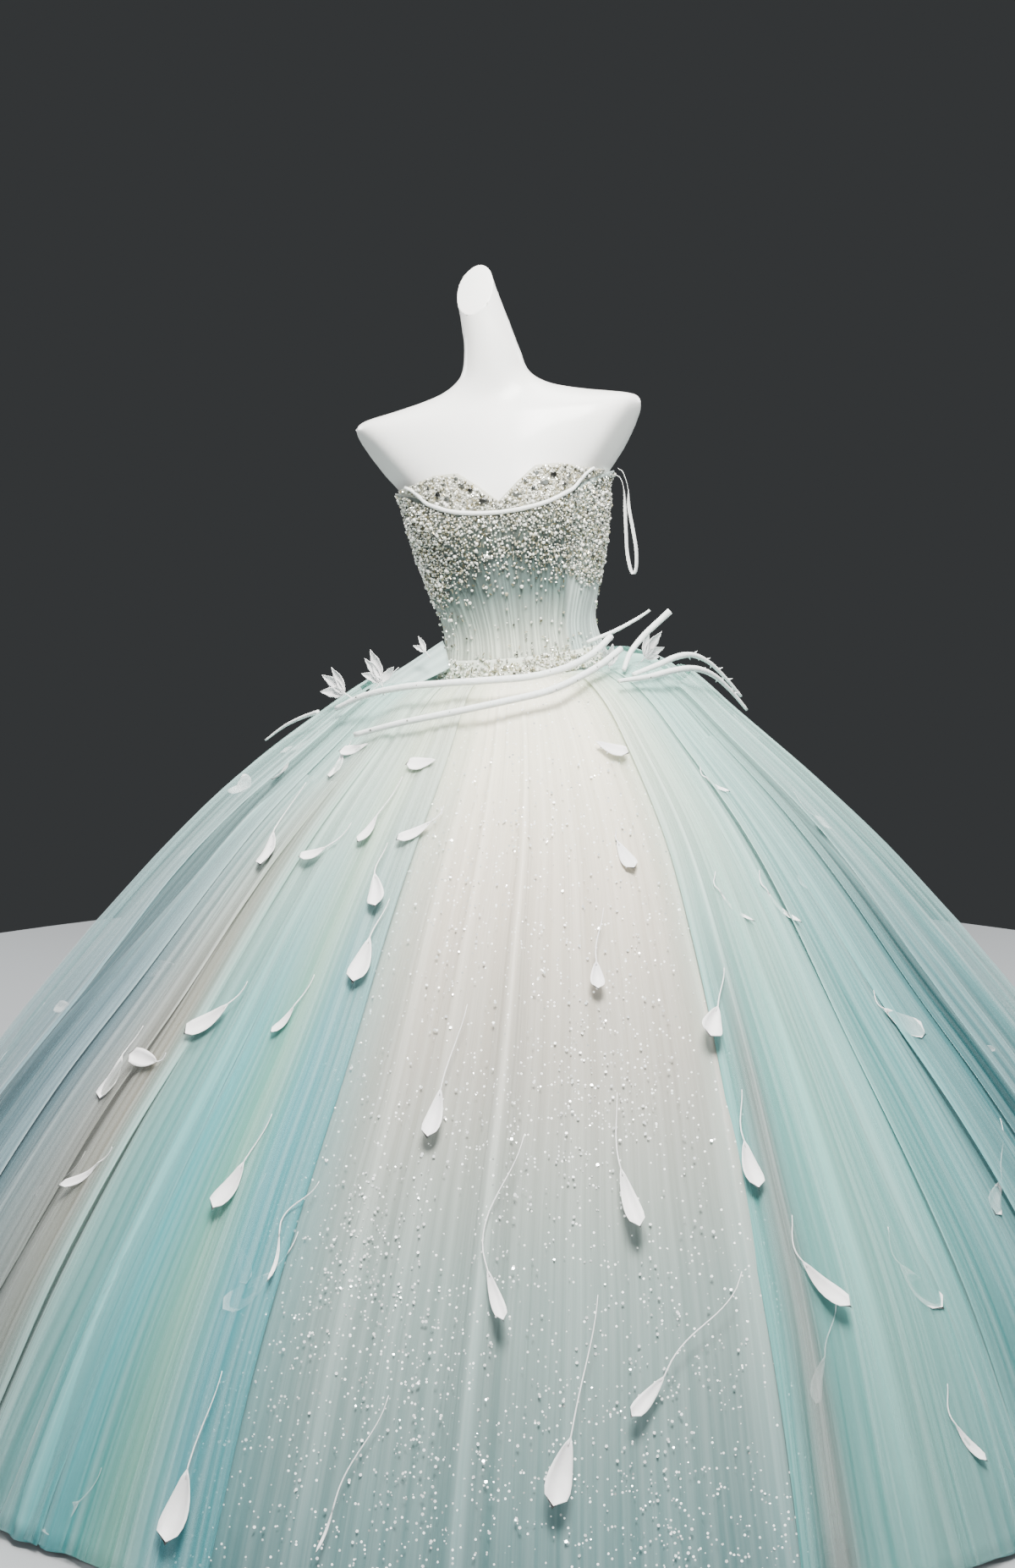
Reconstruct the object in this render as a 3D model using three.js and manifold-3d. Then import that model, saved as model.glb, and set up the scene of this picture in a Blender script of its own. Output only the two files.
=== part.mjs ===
// A strapless ball gown on a limbless dress form.
// Millimetres, +Z up. The origin is on the floor, under the middle of the round base.
// The front of the gown faces -Y. Azimuths are degrees from the front, positive towards +X.
import * as THREE from 'three';
import { mergeVertices } from 'three/addons/utils/BufferGeometryUtils.js';
import Module from 'manifold-3d';

const wasm = await Module();
wasm.setup();

// ---------------------------------------------------------------- driving dimensions

const SEAM = 0.4; // gap left between two pieces that are sewn to each other
const CLEAR = 3.2; // gap between the form and the cloth on it

const TORSO = { height: 980, lean: 6.2, turn: -5 }; // the form stands in this tilted frame
const BODICE_WALL = 2;
const TULLE_WALL = 1.2;
const LINING_WALL = 2;
const LINING_DROP = 32; // how far the under-skirt hangs inside the tulle

const POLE = { radius: 16, depth: 70 };
const BASE = { radius: 210, thickness: 16 };

// How far the arm cuts turn towards the front.
const ARM_CUT_TILT = 0.16;
const PIPING = { radius: 3.5, ends: 64 };
const BEAD_BAND = { low: 15, high: 40, wall: 3 };
const PLACKET = { halfWidth: 5, wall: 1.6, reach: 0.97, lift: 1.6 };
const LEAF_WALL = 1;
const PETAL_WALL = 1;
const PETAL_LIFT = 9;

const GORES = 8;
const GORE_STEPS = 5;
const COLUMN = 5; // degrees between two columns of the tulle panels
const FRONT_EDGE = 25; // the sparkling front panel spans this far to each side
const BODICE_STEP = 7.5;

// Sections of the dress form, up its own leaning axis from the waist seam.
// wide: half the width; front and back: depths; shift: sideways;
// flat: where the arm cuts flatten the side.
const FORM = [
  { up: -140, wide: 150, front: 100, back: 108, shift: 0, flat: 900 },
  { up: -70, wide: 155, front: 102, back: 112, shift: 0, flat: 900 },
  { up: 0, wide: 137, front: 96, back: 98, shift: 0, flat: 900 },
  { up: 40, wide: 120, front: 88, back: 84, shift: 0, flat: 900 },
  { up: 75, wide: 113, front: 85, back: 80, shift: 0, flat: 900 },
  { up: 130, wide: 124, front: 91, back: 86, shift: 0, flat: 900 },
  { up: 195, wide: 140, front: 102, back: 96, shift: 0, flat: 900 },
  { up: 250, wide: 151, front: 110, back: 103, shift: 0, flat: 900 },
  { up: 290, wide: 158, front: 104, back: 104, shift: 0, flat: 160 },
  { up: 330, wide: 196, front: 92, back: 98, shift: 0, flat: 182 },
  { up: 370, wide: 226, front: 78, back: 88, shift: 0, flat: 204 },
  { up: 398, wide: 234, front: 66, back: 76, shift: 0, flat: 220 },
  { up: 412, wide: 214, front: 58, back: 68, shift: 0, flat: 227 },
  { up: 424, wide: 150, front: 50, back: 61, shift: 0, flat: 900 },
  { up: 438, wide: 92, front: 45, back: 55, shift: 1, flat: 900 },
  { up: 455, wide: 60, front: 43, back: 50, shift: 2, flat: 900 },
  { up: 490, wide: 45, front: 41, back: 44, shift: 3, flat: 900 },
  { up: 540, wide: 37, front: 36, back: 37, shift: -3, flat: 900 },
  { up: 600, wide: 32, front: 32, back: 32, shift: -14, flat: 900 },
  { up: 680, wide: 32, front: 32, back: 32, shift: -26, flat: 900 },
];
const FORM_SIDES = 36;
const BUST = { azimuth: 33, up: 248, swell: 13, spreadAcross: 24, spreadUp: 48 };
const NECK_CUT = { up: 592, shift: -12, facing: [-0.45, -0.68, 0.58], reach: 300 };

// Half profile of the gathered skirt. round: 0 keeps the oval of the waist, 1 is a circle.
// lean: how much of the torso's tilt the row keeps. edge: degrees that the right edge of
// the front panel swings round. fold: how far the folds have opened.
const SKIRT = [
  { z: 990, r: 152, round: 0, lean: 1, edge: 9, fold: 0 },
  { z: 991, r: 196, round: 0.6, lean: 0.8, edge: 8.5, fold: 0.08 },
  { z: 962, r: 246, round: 0.85, lean: 0.45, edge: 8, fold: 0.15 },
  { z: 900, r: 313, round: 1, lean: 0.15, edge: 6.5, fold: 0.25 },
  { z: 800, r: 424, round: 1, lean: 0, edge: 4.5, fold: 0.38 },
  { z: 690, r: 529, round: 1, lean: 0, edge: 2, fold: 0.5 },
  { z: 560, r: 640, round: 1, lean: 0, edge: 0, fold: 0.62 },
  { z: 420, r: 762, round: 1, lean: 0, edge: -2, fold: 0.74 },
  { z: 260, r: 887, round: 1, lean: 0, edge: -3.5, fold: 0.86 },
  { z: 110, r: 983, round: 1, lean: 0, edge: -4.5, fold: 0.95 },
  { z: 7, r: 1042, round: 1, lean: 0, edge: -5, fold: 1 },
];
const HEM = SKIRT.length - 1;
const LINING_HEM = HEM - 1;

// The open folds of the skirt: how many go round it, how deep they are at the hem.
const FOLDS = [
  { count: 17, depth: 9, start: 20 },
  { count: 11, depth: 8, start: 75 },
  { count: 6, depth: 7, start: 140 },
];

// Panels of the outer tulle layer, sewn edge to edge.
const TULLE = [
  { name: 'skirt_front_glitter', from: -FRONT_EDGE, to: FRONT_EDGE, color: 0xd6dcd6 },
  { name: 'skirt_side_right', from: FRONT_EDGE, to: 100, color: 0x9fd8d2 },
  { name: 'skirt_back_right', from: 100, to: 180, color: 0xa6dad4 },
  { name: 'skirt_back_left', from: 180, to: 260, color: 0xa6dad4 },
  { name: 'skirt_side_left', from: 260, to: 360 - FRONT_EDGE, color: 0x93d2ce },
];

// Loose panels that lie over it. lift: clear height over the tulle at top, middle and hem.
const DRAPES = [
  { name: 'drape_left', from: -80, to: -35, top: 1, lift: [8, 8, 8] },
  { name: 'drape_right', from: 35, to: 75, top: 1, lift: [8, 8, 8] },
  { name: 'drape_back_left', from: 205, to: 245, top: 1, lift: [8, 8, 8] },
  { name: 'drape_back_right', from: 115, to: 155, top: 1, lift: [8, 8, 8] },
  { name: 'veil_left', from: -115, to: -65, top: 2, lift: [18, 44, 28] },
  { name: 'veil_right', from: 60, to: 110, top: 2, lift: [18, 44, 28] },
];

// Panels of the bodice. from and to: azimuths of the seams.
const BODICE = [
  { name: 'bodice_front', from: -37.5, to: 37.5 },
  { name: 'bodice_side_right', from: 37.5, to: 97.5 },
  { name: 'bodice_back_right', from: 97.5, to: 180 },
  { name: 'bodice_back_left', from: 180, to: 262.5 },
  { name: 'bodice_side_left', from: 262.5, to: 322.5 },
];
const BODICE_ROWS = 8;

// Heights of the bodice's upper edges round the body.
const EDGES = [
  { azimuth: 0, piping: 262, top: 276 },
  { azimuth: 15, piping: 264, top: 300 },
  { azimuth: 32, piping: 270, top: 322 },
  { azimuth: 48, piping: 281, top: 322 },
  { azimuth: 65, piping: 294, top: 308 },
  { azimuth: 80, piping: 300, top: 300 },
  { azimuth: 120, piping: 288, top: 288 },
  { azimuth: 180, piping: 280, top: 280 },
];
const CUP = { reach: 75, rows: 3 };

// Covered wire twigs round the hips. Each stop: azimuth, height, radius; thick: radius of wire.
const TWIGS = [
  { name: 'twig_low', thick: 6, stops: [[-50, 921, 325], [-36, 945, 303], [-20, 965, 284], [-5, 981, 268],
    [7, 992, 254], [18, 1006, 236], [31, 1022, 216], [44, 1040, 204]] },
  { name: 'twig_high', thick: 6, stops: [[-66, 947, 310], [-55, 973, 288], [-42, 990, 268], [-28, 999, 250],
    [-13, 1005, 238], [2, 1010, 228], [16, 1020, 214], [30, 1036, 198], [42, 1058, 190]] },
  { name: 'twig_fork', thick: 5, stops: [[52, 1034, 196], [60, 1058, 206], [66, 1079, 224], [68, 1092, 236]] },
  { name: 'twig_fork_thin', thick: 2.5, stops: [[51, 1066, 176], [60, 1082, 196], [63, 1094, 212]] },
  { name: 'twig_hip_thorny', thick: 5, stops: [[42, 1006, 238], [56, 1015, 240], [68, 1021, 246], [78, 1019, 262],
    [85, 1003, 286], [90, 976, 312], [94, 944, 340]] },
  { name: 'twig_hip_low', thick: 5, stops: [[34, 1000, 244], [46, 1003, 254], [57, 1007, 262], [68, 1005, 274],
    [77, 990, 294], [84, 960, 320], [88, 928, 345]] },
  { name: 'twig_left_tail', thick: 3.5, stops: [[-70, 940, 332], [-76, 926, 352], [-81, 908, 376], [-84, 884, 404]] },
];

// Sprays of pale leaves. turn: degrees of the middle leaf from straight up.
const LEAVES = [
  { name: 'leaf_left_high', azimuth: -65, z: 984, r: 240, turn: -16, length: 52 },
  { name: 'leaf_left_low', azimuth: -73, z: 964, r: 287, turn: -62, length: 50 },
  { name: 'leaf_waist_left', azimuth: -60, z: 1028, r: 174, turn: -35, length: 26 },
  { name: 'leaf_right', azimuth: 68, z: 1018, r: 196, turn: 52, length: 48 },
  { name: 'leaf_right_small', azimuth: 45, z: 1012, r: 178, turn: 8, length: 34 },
];

// The larger petals laid on the tulle. turn: degrees from straight down the slope.
const PETALS = [
  { azimuth: -74, z: 806, turn: -80, length: 64 },
  { azimuth: -54, z: 772, turn: 20, length: 58 },
  { azimuth: -25, z: 748, turn: 5, length: 50 },
  { azimuth: -58, z: 600, turn: -75, length: 58 },
  { azimuth: -39, z: 578, turn: -45, length: 62 },
  { azimuth: -54, z: 490, turn: -10, length: 64 },
  { azimuth: -28, z: 428, turn: -30, length: 62 },
  { azimuth: -9, z: 520, turn: -8, length: 62 },
  { azimuth: 22, z: 585, turn: 10, length: 50 },
  { azimuth: 22, z: 452, turn: 12, length: 60 },
  { azimuth: 51, z: 552, turn: 55, length: 70 },
  { azimuth: 25, z: 330, turn: 48, length: 68 },
  { azimuth: 4, z: 178, turn: -8, length: 72 },
  { azimuth: -23, z: 120, turn: -5, length: 76 },
];

const HANGER = { width: 6, wall: 1.2, azimuth: 88 };

// ---------------------------------------------------------------- finishes

function finish(color, roughness, metalness = 0) {
  return new THREE.MeshStandardMaterial({ color, roughness, metalness });
}

const SATIN_WHITE = finish(0xf3f3ef, 0.45);
const PALE_AQUA = finish(0xc9e4de, 0.7);
const BEADED = finish(0xd9d8cc, 0.3, 0.2);
const SHELL_WHITE = finish(0xf7f7f5, 0.4);
const POLE_METAL = finish(0xd0d2d4, 0.3, 0.9);

// ---------------------------------------------------------------- sizes along tables

// Smooth value of one column of a table whose rows rise in the key column.
function along(table, key, column, at) {
  const last = table.length - 1;
  const found = table.findIndex((row) => row[key] > at);
  const next = found === -1 ? last : Math.max(1, found);
  const [a, b] = [table[next - 1], table[next]];
  const before = table[Math.max(0, next - 2)];
  const after = table[Math.min(last, next + 1)];
  const span = b[key] - a[key];
  const t = THREE.MathUtils.clamp((at - a[key]) / span, 0, 1);
  const slopeA = (b[column] - before[column]) / (b[key] - before[key]);
  const slopeB = (after[column] - a[column]) / (after[key] - a[key]);
  const [t2, t3] = [t * t, t * t * t];
  return (
    (2 * t3 - 3 * t2 + 1) * a[column]
    + (t3 - 2 * t2 + t) * span * slopeA
    + (3 * t2 - 2 * t3) * b[column]
    + (t3 - t2) * span * slopeB
  );
}

// Plain linear value, for edges and limits that have corners.
function between(table, key, column, at) {
  const found = table.findIndex((row) => row[key] > at);
  const next = found === -1 ? table.length - 1 : Math.max(1, found);
  const [a, b] = [table[next - 1], table[next]];
  const t = THREE.MathUtils.clamp((at - a[key]) / (b[key] - a[key]), 0, 1);
  return THREE.MathUtils.lerp(a[column], b[column], t);
}

function aroundBack(azimuth) {
  return Math.abs(THREE.MathUtils.euclideanModulo(azimuth + 180, 360) - 180);
}

function polar(azimuth, radius, z) {
  const angle = THREE.MathUtils.degToRad(azimuth);
  return new THREE.Vector3(radius * Math.sin(angle), -radius * Math.cos(angle), z);
}

// ---------------------------------------------------------------- the leaning frame

// Turns a point about the waist by a share of the torso's lean and turn.
function leaned(point, share) {
  const lean = THREE.MathUtils.degToRad(-TORSO.lean * share);
  const turn = THREE.MathUtils.degToRad(TORSO.turn * share);
  return point
    .clone()
    .setZ(point.z - TORSO.height)
    .applyAxisAngle(new THREE.Vector3(0, 0, 1), turn)
    .applyAxisAngle(new THREE.Vector3(0, 1, 0), lean)
    .add(new THREE.Vector3(0, 0, TORSO.height));
}

// Radius of the form's section in one direction.
function formRadius(azimuth, up) {
  const angle = THREE.MathUtils.degToRad(azimuth);
  const wide = along(FORM, 'up', 'wide', up);
  const depth = along(FORM, 'up', Math.cos(angle) > 0 ? 'front' : 'back', up);
  return (wide * depth) / Math.hypot(depth * Math.sin(angle), wide * Math.cos(angle));
}

function bustSwell(azimuth, up) {
  const across = (aroundBack(azimuth) - BUST.azimuth) / BUST.spreadAcross;
  const rise = (up - BUST.up) / BUST.spreadUp;
  return BUST.swell * Math.exp(-across * across - rise * rise);
}

// A point on the form, or clear of it by an offset.
function onTorso(azimuth, up, offset = 0) {
  const radius = formRadius(azimuth, up) + bustSwell(azimuth, up) + offset;
  const point = polar(azimuth, radius, TORSO.height + up);
  const flat = between(FORM, 'up', 'flat', up) + offset + ARM_CUT_TILT * Math.min(point.y, 0);
  point.x = THREE.MathUtils.clamp(point.x, -flat, flat);
  point.x += along(FORM, 'up', 'shift', up);
  return leaned(point, 1);
}

// ---------------------------------------------------------------- solids

function solidFrom(positions, indices) {
  const geometry = new THREE.BufferGeometry();
  geometry.setAttribute('position', new THREE.Float32BufferAttribute(positions, 3));
  geometry.setIndex(indices);
  return geometry;
}

// A stack of closed rings with flat ends. Rings run upwards.
function loft(rings) {
  const sides = rings[0].length;
  const positions = rings.flat().flatMap((p) => [p.x, p.y, p.z]);
  const indices = [];
  for (let level = 0; level < rings.length - 1; level += 1) {
    for (let side = 0; side < sides; side += 1) {
      const a = level * sides + side;
      const b = level * sides + ((side + 1) % sides);
      indices.push(a, b, a + sides, b, b + sides, a + sides);
    }
  }
  for (const [level, up] of [[0, false], [rings.length - 1, true]]) {
    const middle = rings[level].reduce((sum, p) => sum.add(p), new THREE.Vector3());
    middle.divideScalar(sides);
    const centre = positions.length / 3;
    positions.push(middle.x, middle.y, middle.z);
    for (let side = 0; side < sides; side += 1) {
      const a = level * sides + side;
      const b = level * sides + ((side + 1) % sides);
      indices.push(...(up ? [a, b, centre] : [b, a, centre]));
    }
  }
  return solidFrom(positions, indices);
}

// A cloth wall. pointAt(column, row, offset) gives its surface; the side edges are drawn
// in by half a seam. Columns run towards +azimuth and rows run downwards.
function clothWall(pointAt, columns, rows, inner, outer) {
  const last = columns.length - 1;
  const layers = [outer, inner].map((offset) => columns.map((column) => rows.map(
    (row) => pointAt(column, row, offset),
  )));
  for (const layer of layers) {
    for (const [edge, next] of [[0, 1], [last, last - 1]]) {
      layer[edge] = layer[edge].map((point, row) => {
        const inward = layer[next][row].clone().sub(point).setLength(SEAM / 2);
        return point.clone().add(inward);
      });
    }
  }
  const positions = layers.flat(2).flatMap((p) => [p.x, p.y, p.z]);
  const perLayer = columns.length * rows.length;
  const at = (layer, column, row) => layer * perLayer + column * rows.length + row;
  const indices = [];
  const quad = (a, b, c, d) => indices.push(a, b, c, a, c, d);
  for (let i = 0; i < last; i += 1) {
    for (let j = 0; j < rows.length - 1; j += 1) {
      quad(at(0, i, j), at(0, i, j + 1), at(0, i + 1, j + 1), at(0, i + 1, j));
      quad(at(1, i, j), at(1, i + 1, j), at(1, i + 1, j + 1), at(1, i, j + 1));
    }
    const end = rows.length - 1;
    quad(at(0, i, 0), at(0, i + 1, 0), at(1, i + 1, 0), at(1, i, 0));
    quad(at(0, i, end), at(1, i, end), at(1, i + 1, end), at(0, i + 1, end));
  }
  for (let j = 0; j < rows.length - 1; j += 1) {
    quad(at(0, 0, j), at(1, 0, j), at(1, 0, j + 1), at(0, 0, j + 1));
    quad(at(0, last, j), at(0, last, j + 1), at(1, last, j + 1), at(1, last, j));
  }
  return solidFrom(positions, indices);
}

function toManifold(geometry) {
  const bare = geometry.clone();
  bare.deleteAttribute('normal');
  bare.deleteAttribute('uv');
  const merged = mergeVertices(bare, 1e-4);
  return new wasm.Manifold(new wasm.Mesh({
    numProp: 3,
    vertProperties: new Float32Array(merged.attributes.position.array),
    triVerts: new Uint32Array(merged.index.array),
  }));
}

function fromManifold(manifold) {
  const mesh = manifold.getMesh();
  return solidFrom(Array.from(mesh.vertProperties), Array.from(mesh.triVerts));
}

// A round or flat bar along a curve through the given points.
function bar(points, section, steps) {
  const curve = new THREE.CatmullRomCurve3(points, false, 'centripetal');
  return new THREE.ExtrudeGeometry(section, { steps, extrudePath: curve, curveSegments: 1 });
}

function roundSection(radius, sides) {
  const shape = new THREE.Shape();
  for (let side = 0; side < sides; side += 1) {
    const angle = (2 * Math.PI * side) / sides;
    const [x, y] = [radius * Math.cos(angle), radius * Math.sin(angle)];
    if (side === 0) shape.moveTo(x, y);
    else shape.lineTo(x, y);
  }
  return shape;
}

const dress = new THREE.Group();

function add(name, geometry, material) {
  const mesh = new THREE.Mesh(geometry, material);
  mesh.name = name;
  dress.add(mesh);
  return mesh;
}

function range(from, to, step) {
  const count = Math.round((to - from) / step);
  return Array.from({ length: count + 1 }, (_, i) => from + (i * (to - from)) / count);
}

// ---------------------------------------------------------------- dress form and stand

function makeForm() {
  const bottom = FORM[0].up;
  const top = FORM[FORM.length - 1].up;
  const heights = [...range(bottom, 290, 30), ...range(300, 460, 14), ...range(490, top, 40)];
  const sides = range(0, 360 - 360 / FORM_SIDES, 360 / FORM_SIDES);
  const body = loft(heights.map((up) => sides.map((azimuth) => onTorso(azimuth, up))));

  const socketFloor = leaned(new THREE.Vector3(0, 0, TORSO.height + bottom), 1).z + POLE.depth;
  const socket = new THREE.CylinderGeometry(POLE.radius + SEAM, POLE.radius + SEAM, socketFloor, 24);
  socket.rotateX(Math.PI / 2);
  socket.translate(0, 0, socketFloor / 2);

  const facing = new THREE.Vector3(...NECK_CUT.facing).normalize();
  const cut = new THREE.BoxGeometry(NECK_CUT.reach, NECK_CUT.reach, NECK_CUT.reach);
  cut.translate(0, 0, NECK_CUT.reach / 2);
  cut.applyQuaternion(new THREE.Quaternion().setFromUnitVectors(new THREE.Vector3(0, 0, 1), facing));
  const middle = leaned(new THREE.Vector3(NECK_CUT.shift, 0, TORSO.height + NECK_CUT.up), 1);
  cut.translate(middle.x, middle.y, middle.z);

  const form = toManifold(body).subtract(toManifold(socket)).subtract(toManifold(cut));
  add('form_body', fromManifold(form), SATIN_WHITE);

  const poleTop = socketFloor - SEAM;
  const poleLength = poleTop - BASE.thickness - SEAM;
  const pole = new THREE.CylinderGeometry(POLE.radius, POLE.radius, poleLength, 24);
  pole.rotateX(Math.PI / 2);
  add('form_pole', pole, POLE_METAL).position.set(0, 0, poleTop - poleLength / 2);

  const base = new THREE.CylinderGeometry(BASE.radius, BASE.radius, BASE.thickness, 48);
  base.rotateX(Math.PI / 2);
  add('form_base', base, POLE_METAL).position.set(0, 0, BASE.thickness / 2);
}

// ---------------------------------------------------------------- bodice

function pipingHeight(azimuth) {
  return along(EDGES, 'azimuth', 'piping', aroundBack(azimuth));
}

function makeBodice() {
  const inner = CLEAR;
  const outer = CLEAR + BODICE_WALL;
  const rows = range(0, 1, 1 / BODICE_ROWS);
  const panelPoint = (azimuth, down, offset) => onTorso(azimuth, pipingHeight(azimuth) * (1 - down), offset);
  for (const panel of BODICE) {
    const columns = range(panel.from, panel.to, BODICE_STEP);
    const wall = clothWall(panelPoint, columns, rows, inner, outer);
    add(panel.name, wall, BEADED);
  }

  const cupPoint = (azimuth, down, offset) => {
    const low = pipingHeight(azimuth) + SEAM;
    const high = between(EDGES, 'azimuth', 'top', aroundBack(azimuth)) + 2;
    return onTorso(azimuth, THREE.MathUtils.lerp(high, low, down), offset);
  };
  for (const [name, from, to] of [['cup_right', 0, CUP.reach], ['cup_left', -CUP.reach, 0]]) {
    const columns = range(from, to, BODICE_STEP);
    const wall = clothWall(cupPoint, columns, range(0, 1, 1 / CUP.rows), inner, outer);
    add(name, wall, BEADED);
  }

  const pipingOffset = outer + PIPING.radius + 1.5;
  const pipingStops = range(-PIPING.ends, PIPING.ends, 8).map(
    (azimuth) => onTorso(azimuth, pipingHeight(azimuth), pipingOffset),
  );
  add('neckline_piping', bar(pipingStops, roundSection(PIPING.radius, 6), 24), SHELL_WHITE);

  const bandPoint = (azimuth, down, offset) => onTorso(
    azimuth,
    THREE.MathUtils.lerp(BEAD_BAND.high, BEAD_BAND.low, down),
    offset,
  );
  const bandColumns = range(-75, 75, BODICE_STEP);
  const bandWall = clothWall(bandPoint, bandColumns, [0, 1], outer + 0.8, outer + 0.8 + BEAD_BAND.wall);
  add('waist_bead_band', bandWall, BEADED);

  const placketPoint = (share, down, offset) => {
    const up = pipingHeight(180) * (1 - PLACKET.reach * down);
    const side = new THREE.Vector3(-share * PLACKET.halfWidth, 0, 0);
    return onTorso(180, up, offset).add(side);
  };
  const placketInner = outer + PLACKET.lift;
  const placket = clothWall(placketPoint, [-1, 0, 1], rows, placketInner, placketInner + PLACKET.wall);
  add('back_placket', placket, PALE_AQUA);
}

// A flat ribbon loop, sewn in under the arm, that hangs free outside the bodice.
function makeHangerLoop() {
  const up = pipingHeight(HANGER.azimuth) - 6;
  const start = onTorso(HANGER.azimuth, up, CLEAR + BODICE_WALL + 3);
  const across = new THREE.Vector3(1, 0, 0);
  const path = [
    [0, 0], [9, -5], [15, -22], [17, -52], [19, -88], [21, -118], [26, -142],
    [31, -151], [35, -142], [35, -116], [30, -86], [23, -50], [21.5, -22], [14, 2], [6, 9],
  ].map(([out, drop]) => start.clone().addScaledVector(across, out).add(new THREE.Vector3(0, 0, drop)));
  const section = new THREE.Shape([
    new THREE.Vector2(-HANGER.wall / 2, -HANGER.width / 2),
    new THREE.Vector2(HANGER.wall / 2, -HANGER.width / 2),
    new THREE.Vector2(HANGER.wall / 2, HANGER.width / 2),
    new THREE.Vector2(-HANGER.wall / 2, HANGER.width / 2),
  ]);
  add('hanger_loop', bar(path, section, 32), SHELL_WHITE);
}

// ---------------------------------------------------------------- skirt

function foldDepth(azimuth, row) {
  const angle = (turn) => THREE.MathUtils.degToRad(turn);
  const sum = FOLDS.reduce(
    (total, fold) => total + fold.depth * Math.cos(angle(fold.count * azimuth + fold.start)),
    0,
  );
  return sum * SKIRT[row].fold;
}

// How far a column swings so that the front panel's edges slant.
function swing(azimuth, row) {
  const signed = THREE.MathUtils.euclideanModulo(azimuth + 180, 360) - 180;
  const share = signed < FRONT_EDGE
    ? (signed + FRONT_EDGE) / (2 * FRONT_EDGE)
    : 1 - (signed - FRONT_EDGE) / (2.4 * FRONT_EDGE);
  return SKIRT[row].edge * THREE.MathUtils.clamp(share, 0, 1);
}

function profileNormal(row) {
  const above = SKIRT[Math.max(0, row - 1)];
  const below = SKIRT[Math.min(HEM, row + 1)];
  return new THREE.Vector2(above.z - below.z, below.r - above.r).normalize();
}

// A point of the skirt, moved out along the slope's normal by an offset.
function onSkirt(azimuth, row, offset, folds = 1) {
  const section = SKIRT[row];
  const normal = profileNormal(row);
  const turned = azimuth + swing(azimuth, row);
  const out = offset + folds * foldDepth(azimuth, row);
  const waist = formRadius(turned, 0) + CLEAR + BODICE_WALL + 2;
  const oval = (waist - SKIRT[0].r) * (1 - section.round);
  const rise = row === 0 ? offset : (row === HEM ? offset : out) * normal.y;
  const push = row === 0 ? 0 : out * normal.x;
  return leaned(polar(turned, section.r + oval + push, section.z + rise), section.lean);
}

function rowsFrom(top, bottom) {
  return Array.from({ length: bottom - top + 1 }, (_, i) => top + i);
}

function makeSkirt() {
  const goreAngle = 360 / GORES;
  for (let gore = 0; gore < GORES; gore += 1) {
    const from = (gore - 0.5) * goreAngle;
    const columns = range(from, from + goreAngle, goreAngle / GORE_STEPS);
    const wall = clothWall(
      (azimuth, row, offset) => onSkirt(azimuth, row, offset - LINING_DROP * Math.min(1, row / 3), 0),
      columns,
      rowsFrom(0, LINING_HEM),
      -6 - LINING_WALL,
      -6,
    );
    add(`underskirt_gore_${gore + 1}`, wall, PALE_AQUA);
  }
  for (const panel of TULLE) {
    const columns = range(panel.from, panel.to, COLUMN);
    const wall = clothWall(onSkirt, columns, rowsFrom(0, HEM), 0, TULLE_WALL);
    add(panel.name, wall, finish(panel.color, 0.6));
  }
  for (const drape of DRAPES) {
    const middle = (drape.top + HEM) / 2;
    const liftAt = (row) => (row < middle
      ? THREE.MathUtils.mapLinear(row, drape.top, middle, drape.lift[0], drape.lift[1])
      : THREE.MathUtils.mapLinear(row, middle, HEM, drape.lift[1], drape.lift[2]));
    const wall = clothWall(
      (azimuth, row, offset) => onSkirt(azimuth, row, offset + liftAt(row)),
      range(drape.from, drape.to, drape.name.startsWith('veil') ? 2 * COLUMN : COLUMN),
      rowsFrom(drape.top, HEM),
      0,
      TULLE_WALL,
    );
    add(drape.name, wall, PALE_AQUA);
  }
}

// ---------------------------------------------------------------- ornament

function makeTwigs() {
  for (const twig of TWIGS) {
    const points = twig.stops.map(([azimuth, z, radius]) => polar(azimuth, radius, z));
    add(twig.name, bar(points, roundSection(twig.thick, 6), 3 * twig.stops.length), SHELL_WHITE);
  }
}

// A drop-shaped blade in its own plane: the stem end at the origin, the round end along +Y.
function bladeShape(length, width) {
  const shape = new THREE.Shape();
  shape.moveTo(0, 0);
  shape.bezierCurveTo(width * 0.25, length * 0.3, width * 0.75, length * 0.5, width * 0.5, length * 0.82);
  shape.bezierCurveTo(width * 0.35, length, -width * 0.35, length, -width * 0.5, length * 0.82);
  shape.bezierCurveTo(-width * 0.75, length * 0.5, -width * 0.25, length * 0.3, 0, 0);
  return shape;
}

function blade(length, width, wall) {
  return new THREE.ExtrudeGeometry(bladeShape(length, width), {
    depth: wall,
    bevelEnabled: false,
    curveSegments: 3,
  });
}

function makeLeaves() {
  for (const leaf of LEAVES) {
    const lobes = [-38, 0, 38].map((turn) => {
      const lobe = blade(leaf.length * (turn === 0 ? 1 : 0.78), leaf.length * 0.34, LEAF_WALL);
      lobe.translate(0, -leaf.length * 0.06, 0);
      lobe.rotateZ(THREE.MathUtils.degToRad(-turn - leaf.turn));
      return toManifold(lobe);
    });
    const spray = fromManifold(lobes[0].add(lobes[1]).add(lobes[2]));
    spray.rotateX(Math.PI / 2);
    spray.rotateZ(THREE.MathUtils.degToRad(leaf.azimuth / 2));
    const place = polar(leaf.azimuth, leaf.r, leaf.z);
    add(leaf.name, spray, SHELL_WHITE).position.copy(place);
  }
}

// Where a height falls between two rows of the skirt's table.
function rowAt(z) {
  const below = SKIRT.findIndex((row) => row.z < z);
  const t = (SKIRT[below - 1].z - z) / (SKIRT[below - 1].z - SKIRT[below].z);
  return { above: below - 1, below, t };
}

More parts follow.
